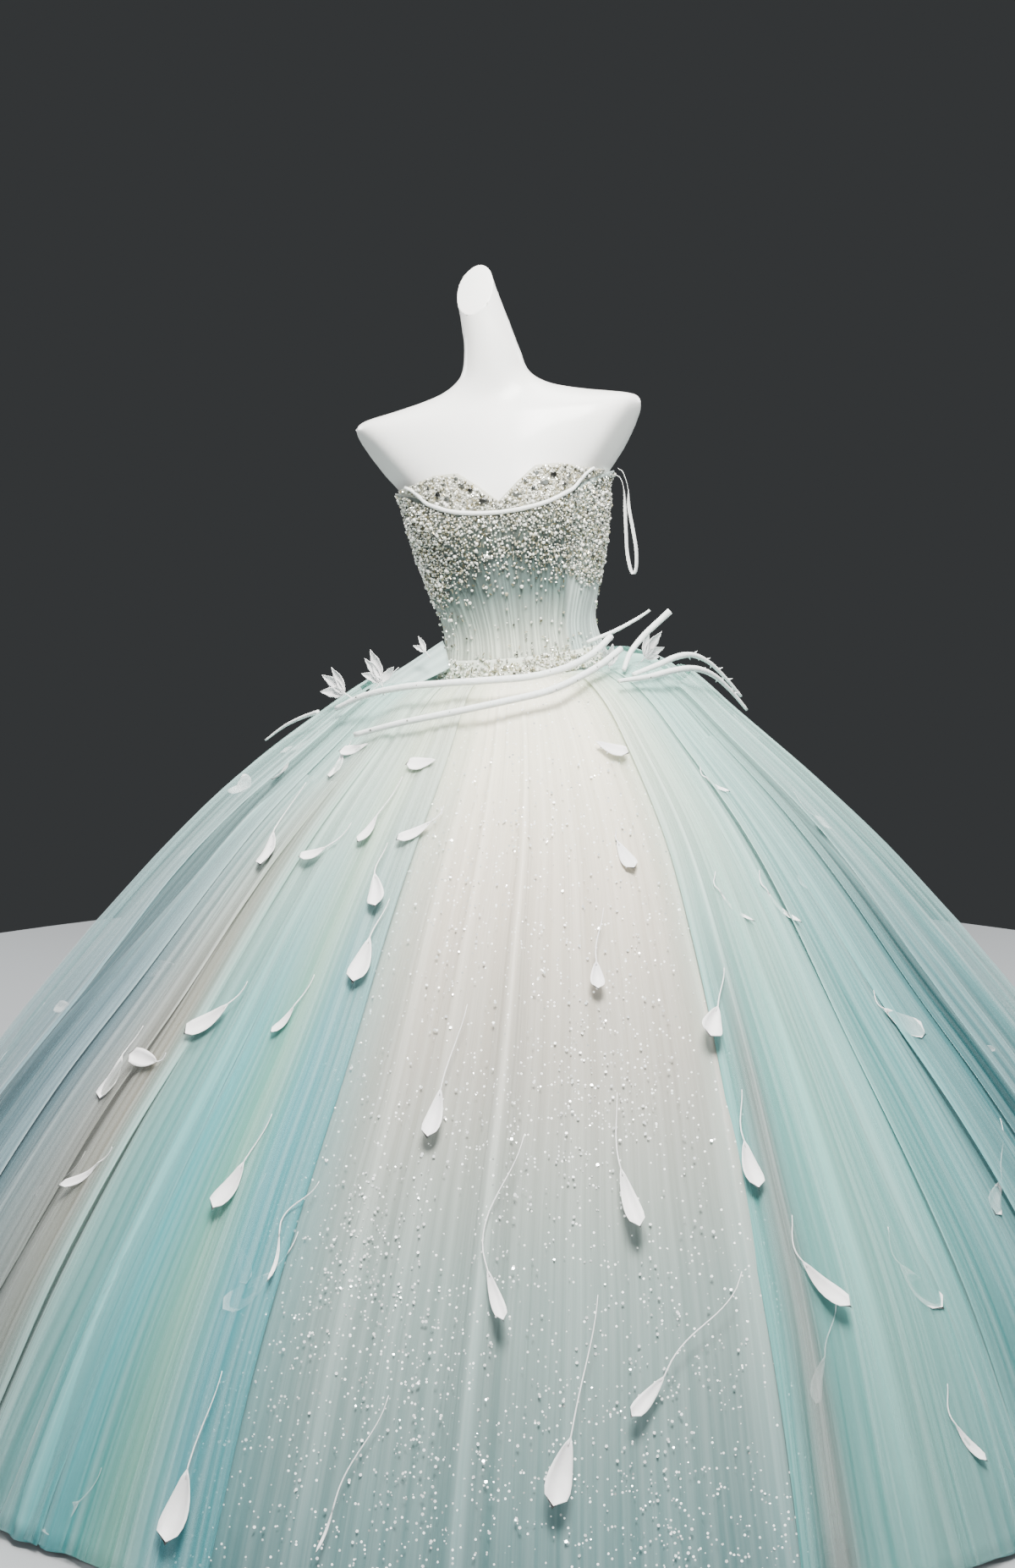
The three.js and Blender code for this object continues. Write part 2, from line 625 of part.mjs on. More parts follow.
function makePetals() {
  PETALS.forEach((petal, index) => {
    const { above, below, t } = rowAt(petal.z);
    const out = (row) => onSkirt(petal.azimuth, row, TULLE_WALL + PETAL_LIFT + 12);
    const [high, low] = [out(above), out(below)];
    const downSlope = low.clone().sub(high).normalize();
    const across = polar(petal.azimuth + 90, 1, 0);
    const outward = downSlope.clone().cross(across).normalize();
    const place = high.clone().lerp(low, t);
    const side = outward.clone().cross(downSlope);
    const solid = blade(petal.length, petal.length * 0.36, PETAL_WALL);
    solid.rotateZ(THREE.MathUtils.degToRad(petal.turn));
    const turned = new THREE.Matrix4().makeBasis(side.negate(), downSlope, outward.negate());
    if (turned.determinant() < 0) turned.makeBasis(side.negate(), downSlope, outward);
    solid.applyMatrix4(turned);
    const name = `petal_${String(index + 1).padStart(2, '0')}`;
    add(name, solid, SHELL_WHITE).position.copy(place);
  });
}

makeForm();
makeBodice();
makeHangerLoop();
makeSkirt();
makeTwigs();
makeLeaves();
makePetals();

export default dress;
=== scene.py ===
"""A strapless ball gown with a beaded bodice and layered tulle skirt, on a limbless dress form.

Metres, +Z up, the front of the gown faces -Y. Azimuths are degrees from the front,
positive towards +X. The origin is on the floor, in the middle of the stand's round base.
"""
import logging
import math
import random
from contextlib import contextmanager
from dataclasses import dataclass, field
from enum import Enum
from typing import Callable, Iterable, Iterator, Sequence

import bmesh
import bpy
import numpy as np
from mathutils import Matrix, Vector


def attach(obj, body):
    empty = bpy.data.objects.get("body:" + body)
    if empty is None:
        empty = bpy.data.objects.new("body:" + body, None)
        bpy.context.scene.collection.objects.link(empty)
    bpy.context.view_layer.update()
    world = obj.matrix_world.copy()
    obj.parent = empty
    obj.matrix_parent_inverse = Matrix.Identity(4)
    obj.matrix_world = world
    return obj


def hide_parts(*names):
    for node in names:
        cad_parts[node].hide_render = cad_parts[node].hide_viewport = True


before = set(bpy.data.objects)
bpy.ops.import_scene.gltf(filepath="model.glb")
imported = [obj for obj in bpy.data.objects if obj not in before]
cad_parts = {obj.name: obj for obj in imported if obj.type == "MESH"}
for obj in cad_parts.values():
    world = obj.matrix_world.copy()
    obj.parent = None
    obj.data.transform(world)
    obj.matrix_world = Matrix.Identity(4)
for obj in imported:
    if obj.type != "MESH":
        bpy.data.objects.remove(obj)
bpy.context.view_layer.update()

LOG = logging.getLogger("gown")
ROOT = "root"
MM = 0.001
SEAM = 0.4 * MM
Array = np.ndarray
Colour = tuple[float, float, float]


# ------------------------------------------------------------------ tables and plain maths


class Table:
    """Rows of numbers under named columns, read along the first column."""

    def __init__(self, columns: str, rows: Sequence[Sequence[float]]) -> None:
        """Keeps each column as an array.

        Args:
            columns: the names, with spaces between them; the first is the key.
            rows: one tuple of numbers a row, the key rising.
        """
        self.names = columns.split()
        self.data = {name: np.array(values, float) for name, values in zip(self.names, zip(*rows))}

    @property
    def key(self) -> Array:
        """The key column."""
        return self.data[self.names[0]]

    def linear(self, column: str, at: Array) -> Array:
        """Straight lines between the rows."""
        return np.interp(at, self.key, self.data[column])

    def smooth(self, column: str, at: Array) -> Array:
        """A smooth curve through the rows, held level past the ends."""
        key, value = self.key, self.data[column]
        at = np.clip(np.asarray(at, float), key[0], key[-1])
        left = np.clip(np.searchsorted(key, at, side="right") - 1, 0, len(key) - 2)
        slope = np.gradient(value, key)
        span = key[left + 1] - key[left]
        t = (at - key[left]) / span
        t2, t3 = t * t, t * t * t
        return (
            (2 * t3 - 3 * t2 + 1) * value[left]
            + (t3 - 2 * t2 + t) * span * slope[left]
            + (3 * t2 - 2 * t3) * value[left + 1]
            + (t3 - t2) * span * slope[left + 1]
        )


def polar(azimuth: Array, radius: Array, z: Array) -> Array:
    """Points at azimuths in degrees, as rows of x, y and z."""
    angle = np.radians(azimuth)
    return np.stack(np.broadcast_arrays(radius * np.sin(angle), -radius * np.cos(angle), z), axis=-1)


def signed(azimuth: Array) -> Array:
    """Azimuth brought to the range -180 to 180."""
    return (azimuth + 180.0) % 360.0 - 180.0


def folded(azimuth: Array) -> Array:
    """Azimuth folded to 0 in front and 180 behind, alike on both sides."""
    return np.abs(signed(azimuth))


def ease(value: Array, low: float, high: float) -> Array:
    """0 below low, 1 above high, and a smooth step between."""
    t = np.clip((value - low) / (high - low), 0.0, 1.0)
    return t * t * (3 - 2 * t)


# ------------------------------------------------------------------ the garment's own shape


@dataclass(frozen=True)
class TorsoShape:
    """The leaning body of the form, which the bodice follows."""

    height: float = 0.980
    lean: float = math.radians(-6.2)
    turn: float = math.radians(-5)
    bust_azimuth: float = 33.0
    bust_up: float = 0.248
    bust_swell: float = 0.013
    bust_across: float = 24.0
    bust_tall: float = 0.048
    arm_tilt: float = 0.16
    sections: Table = field(default_factory=lambda: Table(
        "up wide front back shift flat",
        [
            (-0.140, 0.150, 0.100, 0.108, 0, 0.9),
            (-0.070, 0.155, 0.102, 0.112, 0, 0.9),
            (0, 0.137, 0.096, 0.098, 0, 0.9),
            (0.040, 0.120, 0.088, 0.084, 0, 0.9),
            (0.075, 0.113, 0.085, 0.080, 0, 0.9),
            (0.130, 0.124, 0.091, 0.086, 0, 0.9),
            (0.195, 0.140, 0.102, 0.096, 0, 0.9),
            (0.250, 0.151, 0.110, 0.103, 0, 0.9),
            (0.290, 0.158, 0.104, 0.104, 0, 0.160),
            (0.330, 0.196, 0.092, 0.098, 0, 0.182),
            (0.370, 0.226, 0.078, 0.088, 0, 0.204),
            (0.398, 0.234, 0.066, 0.076, 0, 0.220),
            (0.412, 0.214, 0.058, 0.068, 0, 0.227),
            (0.424, 0.150, 0.050, 0.061, 0, 0.9),
            (0.438, 0.092, 0.045, 0.055, 0.001, 0.9),
            (0.455, 0.060, 0.043, 0.050, 0.002, 0.9),
            (0.490, 0.045, 0.041, 0.044, 0.003, 0.9),
            (0.540, 0.037, 0.036, 0.037, -0.003, 0.9),
            (0.600, 0.032, 0.032, 0.032, -0.014, 0.9),
            (0.680, 0.032, 0.032, 0.032, -0.026, 0.9),
        ],
    ))

    def leaned(self, points: Array, share: Array | float = 1.0) -> Array:
        """Turns points about the waist by a share of the lean and the turn.

        Args:
            points: rows of x, y and z.
            share: how much of the tilt each point keeps.

        Returns:
            The turned points.
        """
        share = np.broadcast_to(share, points.shape[:-1])
        x, y, z = points[..., 0], points[..., 1], points[..., 2] - self.height
        turn, lean = self.turn * share, self.lean * share
        x, y = x * np.cos(turn) - y * np.sin(turn), x * np.sin(turn) + y * np.cos(turn)
        x, z = x * np.cos(lean) + z * np.sin(lean), -x * np.sin(lean) + z * np.cos(lean)
        return np.stack([x, y, z + self.height], axis=-1)

    def radius(self, azimuth: Array, up: Array) -> Array:
        """Radius of the oval section in one direction, without the bust."""
        angle = np.radians(azimuth)
        wide = self.sections.smooth("wide", up)
        front, back = self.sections.smooth("front", up), self.sections.smooth("back", up)
        depth = np.where(np.cos(angle) > 0, front, back)
        return wide * depth / np.hypot(depth * np.sin(angle), wide * np.cos(angle))

    def bust(self, azimuth: Array, up: Array) -> Array:
        """How far the bust swells."""
        across = (folded(azimuth) - self.bust_azimuth) / self.bust_across
        rise = (up - self.bust_up) / self.bust_tall
        return self.bust_swell * np.exp(-across * across - rise * rise)

    def point(self, azimuth: Array, up: Array, offset: Array | float = 0.0, flat: bool = True,
              upright: bool = False) -> Array:
        """Points on the form, or clear of it by an offset.

        Args:
            azimuth: degrees from the front.
            up: height above the waist seam, along the leaning axis.
            offset: distance out from the form.
            flat: whether the arm cuts flatten the sides.
            upright: whether to leave the lean out.

        Returns:
            Rows of x, y and z.
        """
        azimuth, up = np.broadcast_arrays(np.asarray(azimuth, float), np.asarray(up, float))
        reach = self.radius(azimuth, up) + self.bust(azimuth, up) + offset
        made = polar(azimuth, reach, self.height + up)
        if flat:
            limit = self.sections.linear("flat", up) + offset + self.arm_tilt * np.minimum(made[..., 1], 0)
            made[..., 0] = np.clip(made[..., 0], -limit, limit)
        made[..., 0] += self.sections.smooth("shift", up)
        return made if upright else self.leaned(made)


@dataclass(frozen=True)
class SkirtShape:
    """The gathered skirt: a profile swept round, opened into folds towards the hem."""

    torso: TorsoShape
    front_edge: float = 25.0
    profile: Table = field(default_factory=lambda: Table(
        "row z r round lean edge fold",
        [
            (0, 0.990, 0.152, 0, 1, 9, 0),
            (1, 0.991, 0.196, 0.6, 0.8, 8.5, 0.08),
            (2, 0.962, 0.246, 0.85, 0.45, 8, 0.15),
            (3, 0.900, 0.313, 1, 0.15, 6.5, 0.25),
            (4, 0.800, 0.424, 1, 0, 4.5, 0.38),
            (5, 0.690, 0.529, 1, 0, 2, 0.5),
            (6, 0.560, 0.640, 1, 0, 0, 0.62),
            (7, 0.420, 0.762, 1, 0, -2, 0.74),
            (8, 0.260, 0.887, 1, 0, -3.5, 0.86),
            (9, 0.110, 0.983, 1, 0, -4.5, 0.95),
            (10, 0.007, 1.042, 1, 0, -5, 1),
        ],
    ))
    broad: tuple[tuple[int, float, float], ...] = ((17, 0.009, 20), (11, 0.008, 75), (6, 0.007, 140))

    def broad_folds(self, azimuth: Array, row: Array) -> Array:
        """Depth of the broad open folds, as (count, depth, start) waves."""
        total = sum(d * np.cos(np.radians(n * azimuth + start)) for n, d, start in self.broad)
        return total * self.profile.linear("fold", row)

    def swing(self, azimuth: Array, row: Array) -> Array:
        """How far a column swings round, so that the front panel's edges slant."""
        side = signed(azimuth)
        rising = (side + self.front_edge) / (2 * self.front_edge)
        falling = 1 - (side - self.front_edge) / (2.4 * self.front_edge)
        return self.profile.smooth("edge", row) * np.clip(np.minimum(rising, falling), 0, 1)

    def normal(self, row: Array) -> tuple[Array, Array]:
        """Outward normal of the profile, as its radial and upward parts."""
        step = 0.05
        low, high = np.clip(row - step, 0, 10), np.clip(row + step, 0, 10)
        run = self.profile.smooth("r", high) - self.profile.smooth("r", low)
        fall = self.profile.smooth("z", low) - self.profile.smooth("z", high)
        length = np.hypot(run, fall)
        return fall / length, run / length

    def surface(self, azimuth: Array, row: Array, offset: Array | float, folds: Array | float = 1.0,
                extra: Array | float = 0.0) -> Array:
        """Points of the skirt, moved out along the slope's normal.

        Args:
            azimuth: degrees from the front.
            row: 0 at the waist seam to 10 at the hem.
            offset: clear distance out from the outer tulle's inside.
            folds: share of the broad folds that this layer follows.
            extra: its own finer folds, as distances.

        Returns:
            Rows of x, y and z.
        """
        azimuth, row = np.broadcast_arrays(np.asarray(azimuth, float), np.asarray(row, float))
        out_r, out_z = self.normal(row)
        turned = azimuth + self.swing(azimuth, row)
        out = offset + folds * self.broad_folds(azimuth, row) + extra
        seam = ease(row, 0, 1)
        oval = (self.torso.radius(turned, 0 * row) + 0.007 - 0.152) * (1 - self.profile.smooth("round", row))
        level = ease(row, 9.3, 10)
        rise = out * out_z * seam * (1 - level) + offset * (1 - seam) + np.maximum(offset, 0) * out_z * level
        reach = self.profile.smooth("r", row) + oval + out * out_r * seam
        made = polar(turned, reach, self.profile.smooth("z", row) + rise)
        return self.torso.leaned(made, self.profile.smooth("lean", row))

    def row_at(self, z: float) -> float:
        """The row whose height is z."""
        rows = np.linspace(0.5, 10, 400)
        return float(np.interp(-z, -self.profile.smooth("z", rows), rows))

    def place(self, azimuth: float, z: float, offset: float, turn: float = 0.0) -> Matrix:
        """A frame lying on the slope: Y along it, turned from straight down, and Z outward.

        Args:
            azimuth: degrees from the front, as seen, so that no swing is added.
            z: height of the place.
            offset: distance out from the outer tulle.
            turn: degrees from straight down the slope, positive towards +azimuth.

        Returns:
            The frame as a matrix.
        """
        row = self.row_at(z)
        azimuth = azimuth - float(self.swing(np.array(azimuth), np.array(row)))
        steps = np.array([row - 0.05, row + 0.05])
        high, low = self.surface(azimuth, steps, offset)
        left, right = self.surface(np.array([azimuth - 0.3, azimuth + 0.3]), row, offset)
        down = Vector(low - high).normalized()
        across = Vector(right - left).normalized()
        outward = across.cross(-down).normalized()
        across = (-down).cross(outward).normalized()
        angle = math.radians(turn)
        y_axis = down * math.cos(angle) + across * math.sin(angle)
        x_axis = y_axis.cross(outward)
        made = Matrix((x_axis, y_axis, outward)).transposed().to_4x4()
        made.translation = Vector(self.surface(azimuth, row, offset))
        return made


TORSO = TorsoShape()
SKIRT = SkirtShape(TORSO)


# ------------------------------------------------------------------ mesh helpers


@contextmanager
def reshaped(mesh: bpy.types.Mesh) -> Iterator[bmesh.types.BMesh]:
    """Opens a mesh, new or made, as a bmesh, and writes it back at the end."""
    shape = bmesh.new()
    shape.from_mesh(mesh)
    yield shape
    shape.to_mesh(mesh)
    shape.free()


def new_object(name: str, mesh: bpy.types.Mesh) -> bpy.types.Object:
    """Puts a mesh in the scene at the origin, smooth shaded."""
    made = bpy.data.objects.new(name, mesh)
    bpy.context.scene.collection.objects.link(made)
    mesh.shade_smooth()
    return made


def laid_grid(name: str, across: int, down: int, place: Callable[[Array, Array], Array],
              uv: Callable[[Array, Array], tuple[Array, Array]] | None = None) -> bpy.types.Object:
    """Makes a grid and lays it on a surface.

    Args:
        name: the piece's name.
        across: number of faces across.
        down: number of faces down.
        place: gives the points for u (0 to 1, across) and v (0 below, 1 above).
        uv: gives the texture coordinates for u and v, if not u and v themselves.

    Returns:
        The new object.
    """
    mesh = bpy.data.meshes.new(name)
    with reshaped(mesh) as shape:
        shape.loops.layers.uv.new("UVMap")
        bmesh.ops.create_grid(shape, x_segments=across, y_segments=down, size=0.5, calc_uvs=True)
    flat = np.empty(len(mesh.vertices) * 3)
    mesh.vertices.foreach_get("co", flat)
    u, v = flat.reshape(-1, 3)[:, 0] + 0.5, flat.reshape(-1, 3)[:, 1] + 0.5
    mesh.vertices.foreach_set("co", place(u, v).ravel())
    if uv is not None:
        layer = mesh.uv_layers[0].data
        loops = np.empty(len(mesh.loops), np.int32)
        mesh.loops.foreach_get("vertex_index", loops)
        first, second = uv(u, v)
        layer.foreach_set("uv", np.stack([first[loops], second[loops]], axis=-1).ravel())
    mesh.update()
    return new_object(name, mesh)


def grid_coordinates(across: int, down: int) -> tuple[Array, Array]:
    """The u and v of each vertex of a fresh grid, in the mesh's own order."""
    index = np.arange((across + 1) * (down + 1))
    return (index % (across + 1)) / across, (index // (across + 1)) / down


def set_point_value(made: bpy.types.Object, name: str, values: Array) -> None:
    """Stores one number a vertex."""
    layer = made.data.attributes.new(name, "FLOAT", "POINT")
    layer.data.foreach_set("value", values.astype(np.float32))


def set_point_colour(made: bpy.types.Object, name: str, values: Array) -> None:
    """Stores one colour a vertex, given as rows of red, green and blue."""
    layer = made.data.attributes.new(name, "FLOAT_COLOR", "POINT")
    full = np.concatenate([values, np.ones((len(values), 1))], axis=1)
    layer.data.foreach_set("color", full.astype(np.float32).ravel())


def thicken(made: bpy.types.Object, wall: float, offset: float = 1.0) -> None:
    """Gives a sheet its wall, with the Solidify modifier."""
    solidify = made.modifiers.new("wall", "SOLIDIFY")
    solidify.thickness = wall
    solidify.offset = offset


def joined_copies(name: str, template: bpy.types.Mesh, places: Sequence[Matrix]) -> bpy.types.Object:
    """Joins many placed copies of a small mesh into one mesh.

    Args:
        name: the piece's name.
        template: the mesh to repeat.
        places: a matrix for each copy.

    Returns:
        The joined object.
    """
    count, size = len(places), len(template.vertices)
    points = np.empty(size * 3)
    template.vertices.foreach_get("co", points)
    points = np.concatenate([points.reshape(-1, 3), np.ones((size, 1))], axis=1)
    stack = np.array([[list(r) for r in m] for m in places])
    moved = np.einsum("nij,vj->nvi", stack, points)[..., :3].reshape(-1, 3)
    corners = np.empty(len(template.loops), np.int32)
    template.loops.foreach_get("vertex_index", corners)
    starts = np.empty(len(template.polygons), np.int32)
    template.polygons.foreach_get("loop_start", starts)
    mesh = bpy.data.meshes.new(name)
    mesh.vertices.add(count * size)
    mesh.vertices.foreach_set("co", moved.ravel())
    mesh.loops.add(count * len(corners))
    shift = np.repeat(np.arange(count) * size, len(corners))
    mesh.loops.foreach_set("vertex_index", (np.tile(corners, count) + shift).astype(np.int32))
    mesh.polygons.add(count * len(starts))
    shift = np.repeat(np.arange(count) * len(corners), len(starts))
    mesh.polygons.foreach_set("loop_start", (np.tile(starts, count) + shift).astype(np.int32))
    if template.uv_layers:
        flat = np.empty(len(corners) * 2)
        template.uv_layers[0].data.foreach_get("uv", flat)
        mesh.uv_layers.new(name="UVMap").data.foreach_set("uv", np.tile(flat, count))
    tone = mesh.attributes.new("copy", "FLOAT", "POINT")
    tone.data.foreach_set("value", np.repeat((np.arange(count) * 0.6180339) % 1.0, size).astype(np.float32))
    mesh.update(calc_edges=True)
    mesh.validate()
    return new_object(name, mesh)


def curve_through(stops: Sequence[Vector], per_span: int) -> list[Vector]:
    """Points of a smooth curve through the stops."""
    key = np.arange(len(stops), dtype=float)
    fine = np.linspace(0, len(stops) - 1, per_span * (len(stops) - 1) + 1)
    table = Table("t x y z", [(k, *stop) for k, stop in zip(key, stops)])
    return [Vector(p) for p in zip(*(table.smooth(axis, fine) for axis in "xyz"))]


def tube(name: str, route: Sequence[Vector], radius: float, taper: Sequence[float] = (1.0, 1.0),
         roundness: int = 3) -> bpy.types.Object:
    """A round bar along a route, as a mesh with closed ends.

    Args:
        name: the piece's name.
        route: the points it follows.
        radius: its full radius.
        taper: shares of the radius, spread evenly from start to end.
        roundness: the curve's bevel resolution.

    Returns:
        The new object.
    """
    line = bpy.data.curves.new(name, "CURVE")
    line.dimensions = "3D"
    line.bevel_depth = radius
    line.bevel_resolution = roundness
    line.use_fill_caps = True
    spline = line.splines.new("POLY")
    spline.points.add(len(route) - 1)
    shares = np.interp(np.linspace(0, 1, len(route)), np.linspace(0, 1, len(taper)), taper)
    for point, place, share in zip(spline.points, route, shares):
        point.co = (*place, 1.0)
        point.radius = float(share)
    holder = bpy.data.objects.new(name, line)
    mesh = bpy.data.meshes.new_from_object(holder)
    bpy.data.objects.remove(holder)
    bpy.data.curves.remove(line)
    with reshaped(mesh) as shape:
        bmesh.ops.remove_doubles(shape, verts=shape.verts, dist=1e-6)
        bmesh.ops.recalc_face_normals(shape, faces=shape.faces)
    mesh.name = name
    return new_object(name, mesh)


def join_into(name: str, parts: Sequence[bpy.types.Object]) -> bpy.types.Object:
    """Joins the parts' meshes into one new object, and removes the parts."""
    mesh = bpy.data.meshes.new(name)
    with reshaped(mesh) as shape:
        for part in parts:
            old = part.data
            shape.from_mesh(old)
            bpy.data.objects.remove(part)
            bpy.data.meshes.remove(old)
    return new_object(name, mesh)


def dress(made: bpy.types.Object, material: bpy.types.Material, nodes: Iterable[str] = ()) -> None:
    """Gives a piece its material and its body, and hides the nodes it stands for."""
    made.data.materials.clear()
    made.data.materials.append(material)
    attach(made, ROOT)
    names = list(nodes)
    if names:
        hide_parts(*names)
    LOG.info("%s: %d faces", made.name, len(made.data.polygons))


# ------------------------------------------------------------------ shader helpers


class Painter:
    """A node tree with short ways to add and join nodes."""

    def __init__(self, tree: bpy.types.NodeTree) -> None:
        """Keeps the tree."""
        self.tree = tree

    def node(self, kind: str, settings: dict | None = None, **inputs: object) -> bpy.types.Node:
        """Adds a node.

        Args:
            kind: the node's type, without its ShaderNode prefix.
            settings: properties of the node itself.
            **inputs: values or sockets for its inputs; _ stands for a space, and in0 for a number.

        Returns:
            The node.
        """
        made = self.tree.nodes.new("ShaderNode" + kind)
        for name, value in (settings or {}).items():
            setattr(made, name, value)
        for name, value in inputs.items():
            key = int(name[2:]) if name.startswith("in") and name[2:].isdigit() else name.replace("_", " ")
            self.feed(made.inputs[key], value)
        return made

    def feed(self, socket: bpy.types.NodeSocket, value: object) -> None:
        """Links a socket to another, or sets its value."""
        if isinstance(value, bpy.types.NodeSocket):
            self.tree.links.new(value, socket)
        else:
            socket.default_value = value

    def maths(self, operation: str, first: object, second: object = 0.0, third: object = 0.0,
              clamp: bool = False) -> bpy.types.NodeSocket:
        """The result of a Math node."""
        settings = {"operation": operation, "use_clamp": clamp}
        return self.node("Math", settings, in0=first, in1=second, in2=third).outputs[0]

    def mix(self, share: object, first: object, second: object, blend: str = "MIX") -> bpy.types.NodeSocket:
        """The colour of a Mix node."""
        made = self.node("Mix", {"data_type": "RGBA", "blend_type": blend, "clamp_factor": True})
        self.feed(made.inputs[0], share)
        self.feed(made.inputs[6], first)
        self.feed(made.inputs[7], second)
        return made.outputs[2]

    def ramp(self, value: object, stops: Sequence[tuple[float, Colour]]) -> bpy.types.NodeSocket:
        """The colour of a Color Ramp with the given stops."""
        made = self.node("ValToRGB", None, in0=value)
        elements = made.color_ramp.elements
        while len(elements) < len(stops):
            elements.new(0.5)
        for element, (position, colour) in zip(elements, stops):
            element.position = position
            element.color = (*colour, 1.0)
        return made.outputs[0]

    def span(self, value: object, low: float, high: float, to_low: float = 0.0,
             to_high: float = 1.0) -> bpy.types.NodeSocket:
        """A value mapped from one range to another, and held at its ends."""
        made = self.node("MapRange", None, in0=value, in1=low, in2=high, in3=to_low, in4=to_high)
        return made.outputs[0]


class EffectGroup:
    """A shared effect: a node group with named inputs and outputs."""

    def __init__(self, name: str, inputs: dict[str, tuple[str, object]], outputs: dict[str, str]) -> None:
        """Makes the empty group.

        Args:
            name: the group's name.
            inputs: for each input its kind (Float, Vector or Color) and its default, or None.
            outputs: for each output its kind.
        """
        self.tree = bpy.data.node_groups.new(name, "ShaderNodeTree")
        for title, (kind, default) in inputs.items():
            socket = self.tree.interface.new_socket(title, in_out="INPUT", socket_type="NodeSocket" + kind)
            if default is not None:
                socket.default_value = default
        for title, kind in outputs.items():
            self.tree.interface.new_socket(title, in_out="OUTPUT", socket_type="NodeSocket" + kind)
        self.paint = Painter(self.tree)
        self.source = self.tree.nodes.new("NodeGroupInput")
        self.target = self.tree.nodes.new("NodeGroupOutput")

    def give(self, title: str, value: bpy.types.NodeSocket) -> None:
        """Joins a value to an output."""
        self.tree.links.new(value, self.target.inputs[title])

    def use(self, paint: Painter, **inputs: object) -> bpy.types.Node:
        """Places the group in a material, with that material's values."""
        made = paint.tree.nodes.new("ShaderNodeGroup")
        made.node_tree = self.tree
        for title, value in inputs.items():
            paint.feed(made.inputs[title.replace("_", " ")], value)
        return made


def streak_group() -> EffectGroup:
    """Fine radial streaks of gathered net, in the cloth's own UV map."""
    made = EffectGroup(
        "gathered streaks",
        {"UV": ("Vector", None), "Count": ("Float", 260.0), "Run": ("Float", 1.6),
         "Drift": ("Float", 0.0025)},
        {"Streak": "Float", "Soft": "Float"},
    )
    paint, source = made.paint, made.source.outputs
    flat = {"noise_dimensions": "2D"}
    parts = paint.node("SeparateXYZ", None, Vector=source["UV"])
    wander = paint.node("TexNoise", flat, Vector=source["UV"], Scale=2.5, Detail=1.0)
    shift = paint.maths("MULTIPLY_ADD", wander.outputs["Fac"], source["Drift"], parts.outputs[0])
    across = paint.maths("MULTIPLY", shift, source["Count"])
    along = paint.maths("MULTIPLY", parts.outputs[1], source["Run"])
    place = paint.node("CombineXYZ", None, X=across, Y=along).outputs[0]
    fine = paint.node("TexNoise", flat, Vector=place, Scale=1.0, Detail=3.0, Roughness=0.6)
    made.give("Streak", paint.span(fine.outputs["Fac"], 0.34, 0.68))
    broad_across = paint.maths("MULTIPLY", across, 0.22)
    broad_place = paint.node("CombineXYZ", None, X=broad_across, Y=along).outputs[0]
    broad = paint.node("TexNoise", flat, Vector=broad_place, Scale=1.0, Detail=2.0)
    made.give("Soft", paint.span(broad.outputs["Fac"], 0.32, 0.68))
    return made


def glitter_group() -> EffectGroup:
    """Random bright specks and their loose clusters, in object space."""
    made = EffectGroup(
        "glitter specks",
        {"Vector": ("Vector", None), "Pitch": ("Float", 300.0), "Share": ("Float", 0.06),
         "Size": ("Float", 0.3)},
        {"Speck": "Float", "Tone": "Float"},
    )
    paint, source = made.paint, made.source.outputs
    cells = paint.node("TexVoronoi", {"feature": "F1"}, Vector=source["Vector"], Scale=source["Pitch"])
    chance = paint.node("SeparateColor", None, in0=cells.outputs["Color"])
    cloud = paint.node("TexNoise", None, Vector=source["Vector"], Scale=5.0, Detail=2.0)
    crowd = paint.span(cloud.outputs["Fac"], 0.35, 0.7, 0.4, 1.7)
    wanted = paint.maths("MULTIPLY", source["Share"], crowd)
    lucky = paint.maths("LESS_THAN", chance.outputs[0], wanted)
    near = paint.maths("LESS_THAN", cells.outputs["Distance"], source["Size"])
    made.give("Speck", paint.maths("MULTIPLY", lucky, near))
    made.give("Tone", chance.outputs[1])
    return made


def weave_group() -> EffectGroup:
    """A fine over-and-under weave, as a bump height, in object space."""
    made = EffectGroup(
        "fine weave",
        {"Vector": ("Vector", None), "Pitch": ("Float", 900.0), "Slub": ("Float", 0.3)},
        {"Height": "Float"},
    )
    paint, source = made.paint, made.source.outputs
    waves = [
        paint.node("TexWave", {"wave_type": "BANDS", "bands_direction": way}, Vector=source["Vector"],
                   Scale=source["Pitch"], Distortion=0.6).outputs["Fac"]
        for way in ("DIAGONAL", "Z")
    ]
    crossed = paint.maths("ADD", *waves)
    slub = paint.node("TexNoise", None, Vector=source["Vector"], Scale=120.0, Detail=3.0)
    worn = paint.maths("MULTIPLY", slub.outputs["Fac"], source["Slub"])
    made.give("Height", paint.maths("MULTIPLY_ADD", crossed, 0.5, worn))
    return made


STREAKS = streak_group()
GLITTER = glitter_group()
WEAVE = weave_group()


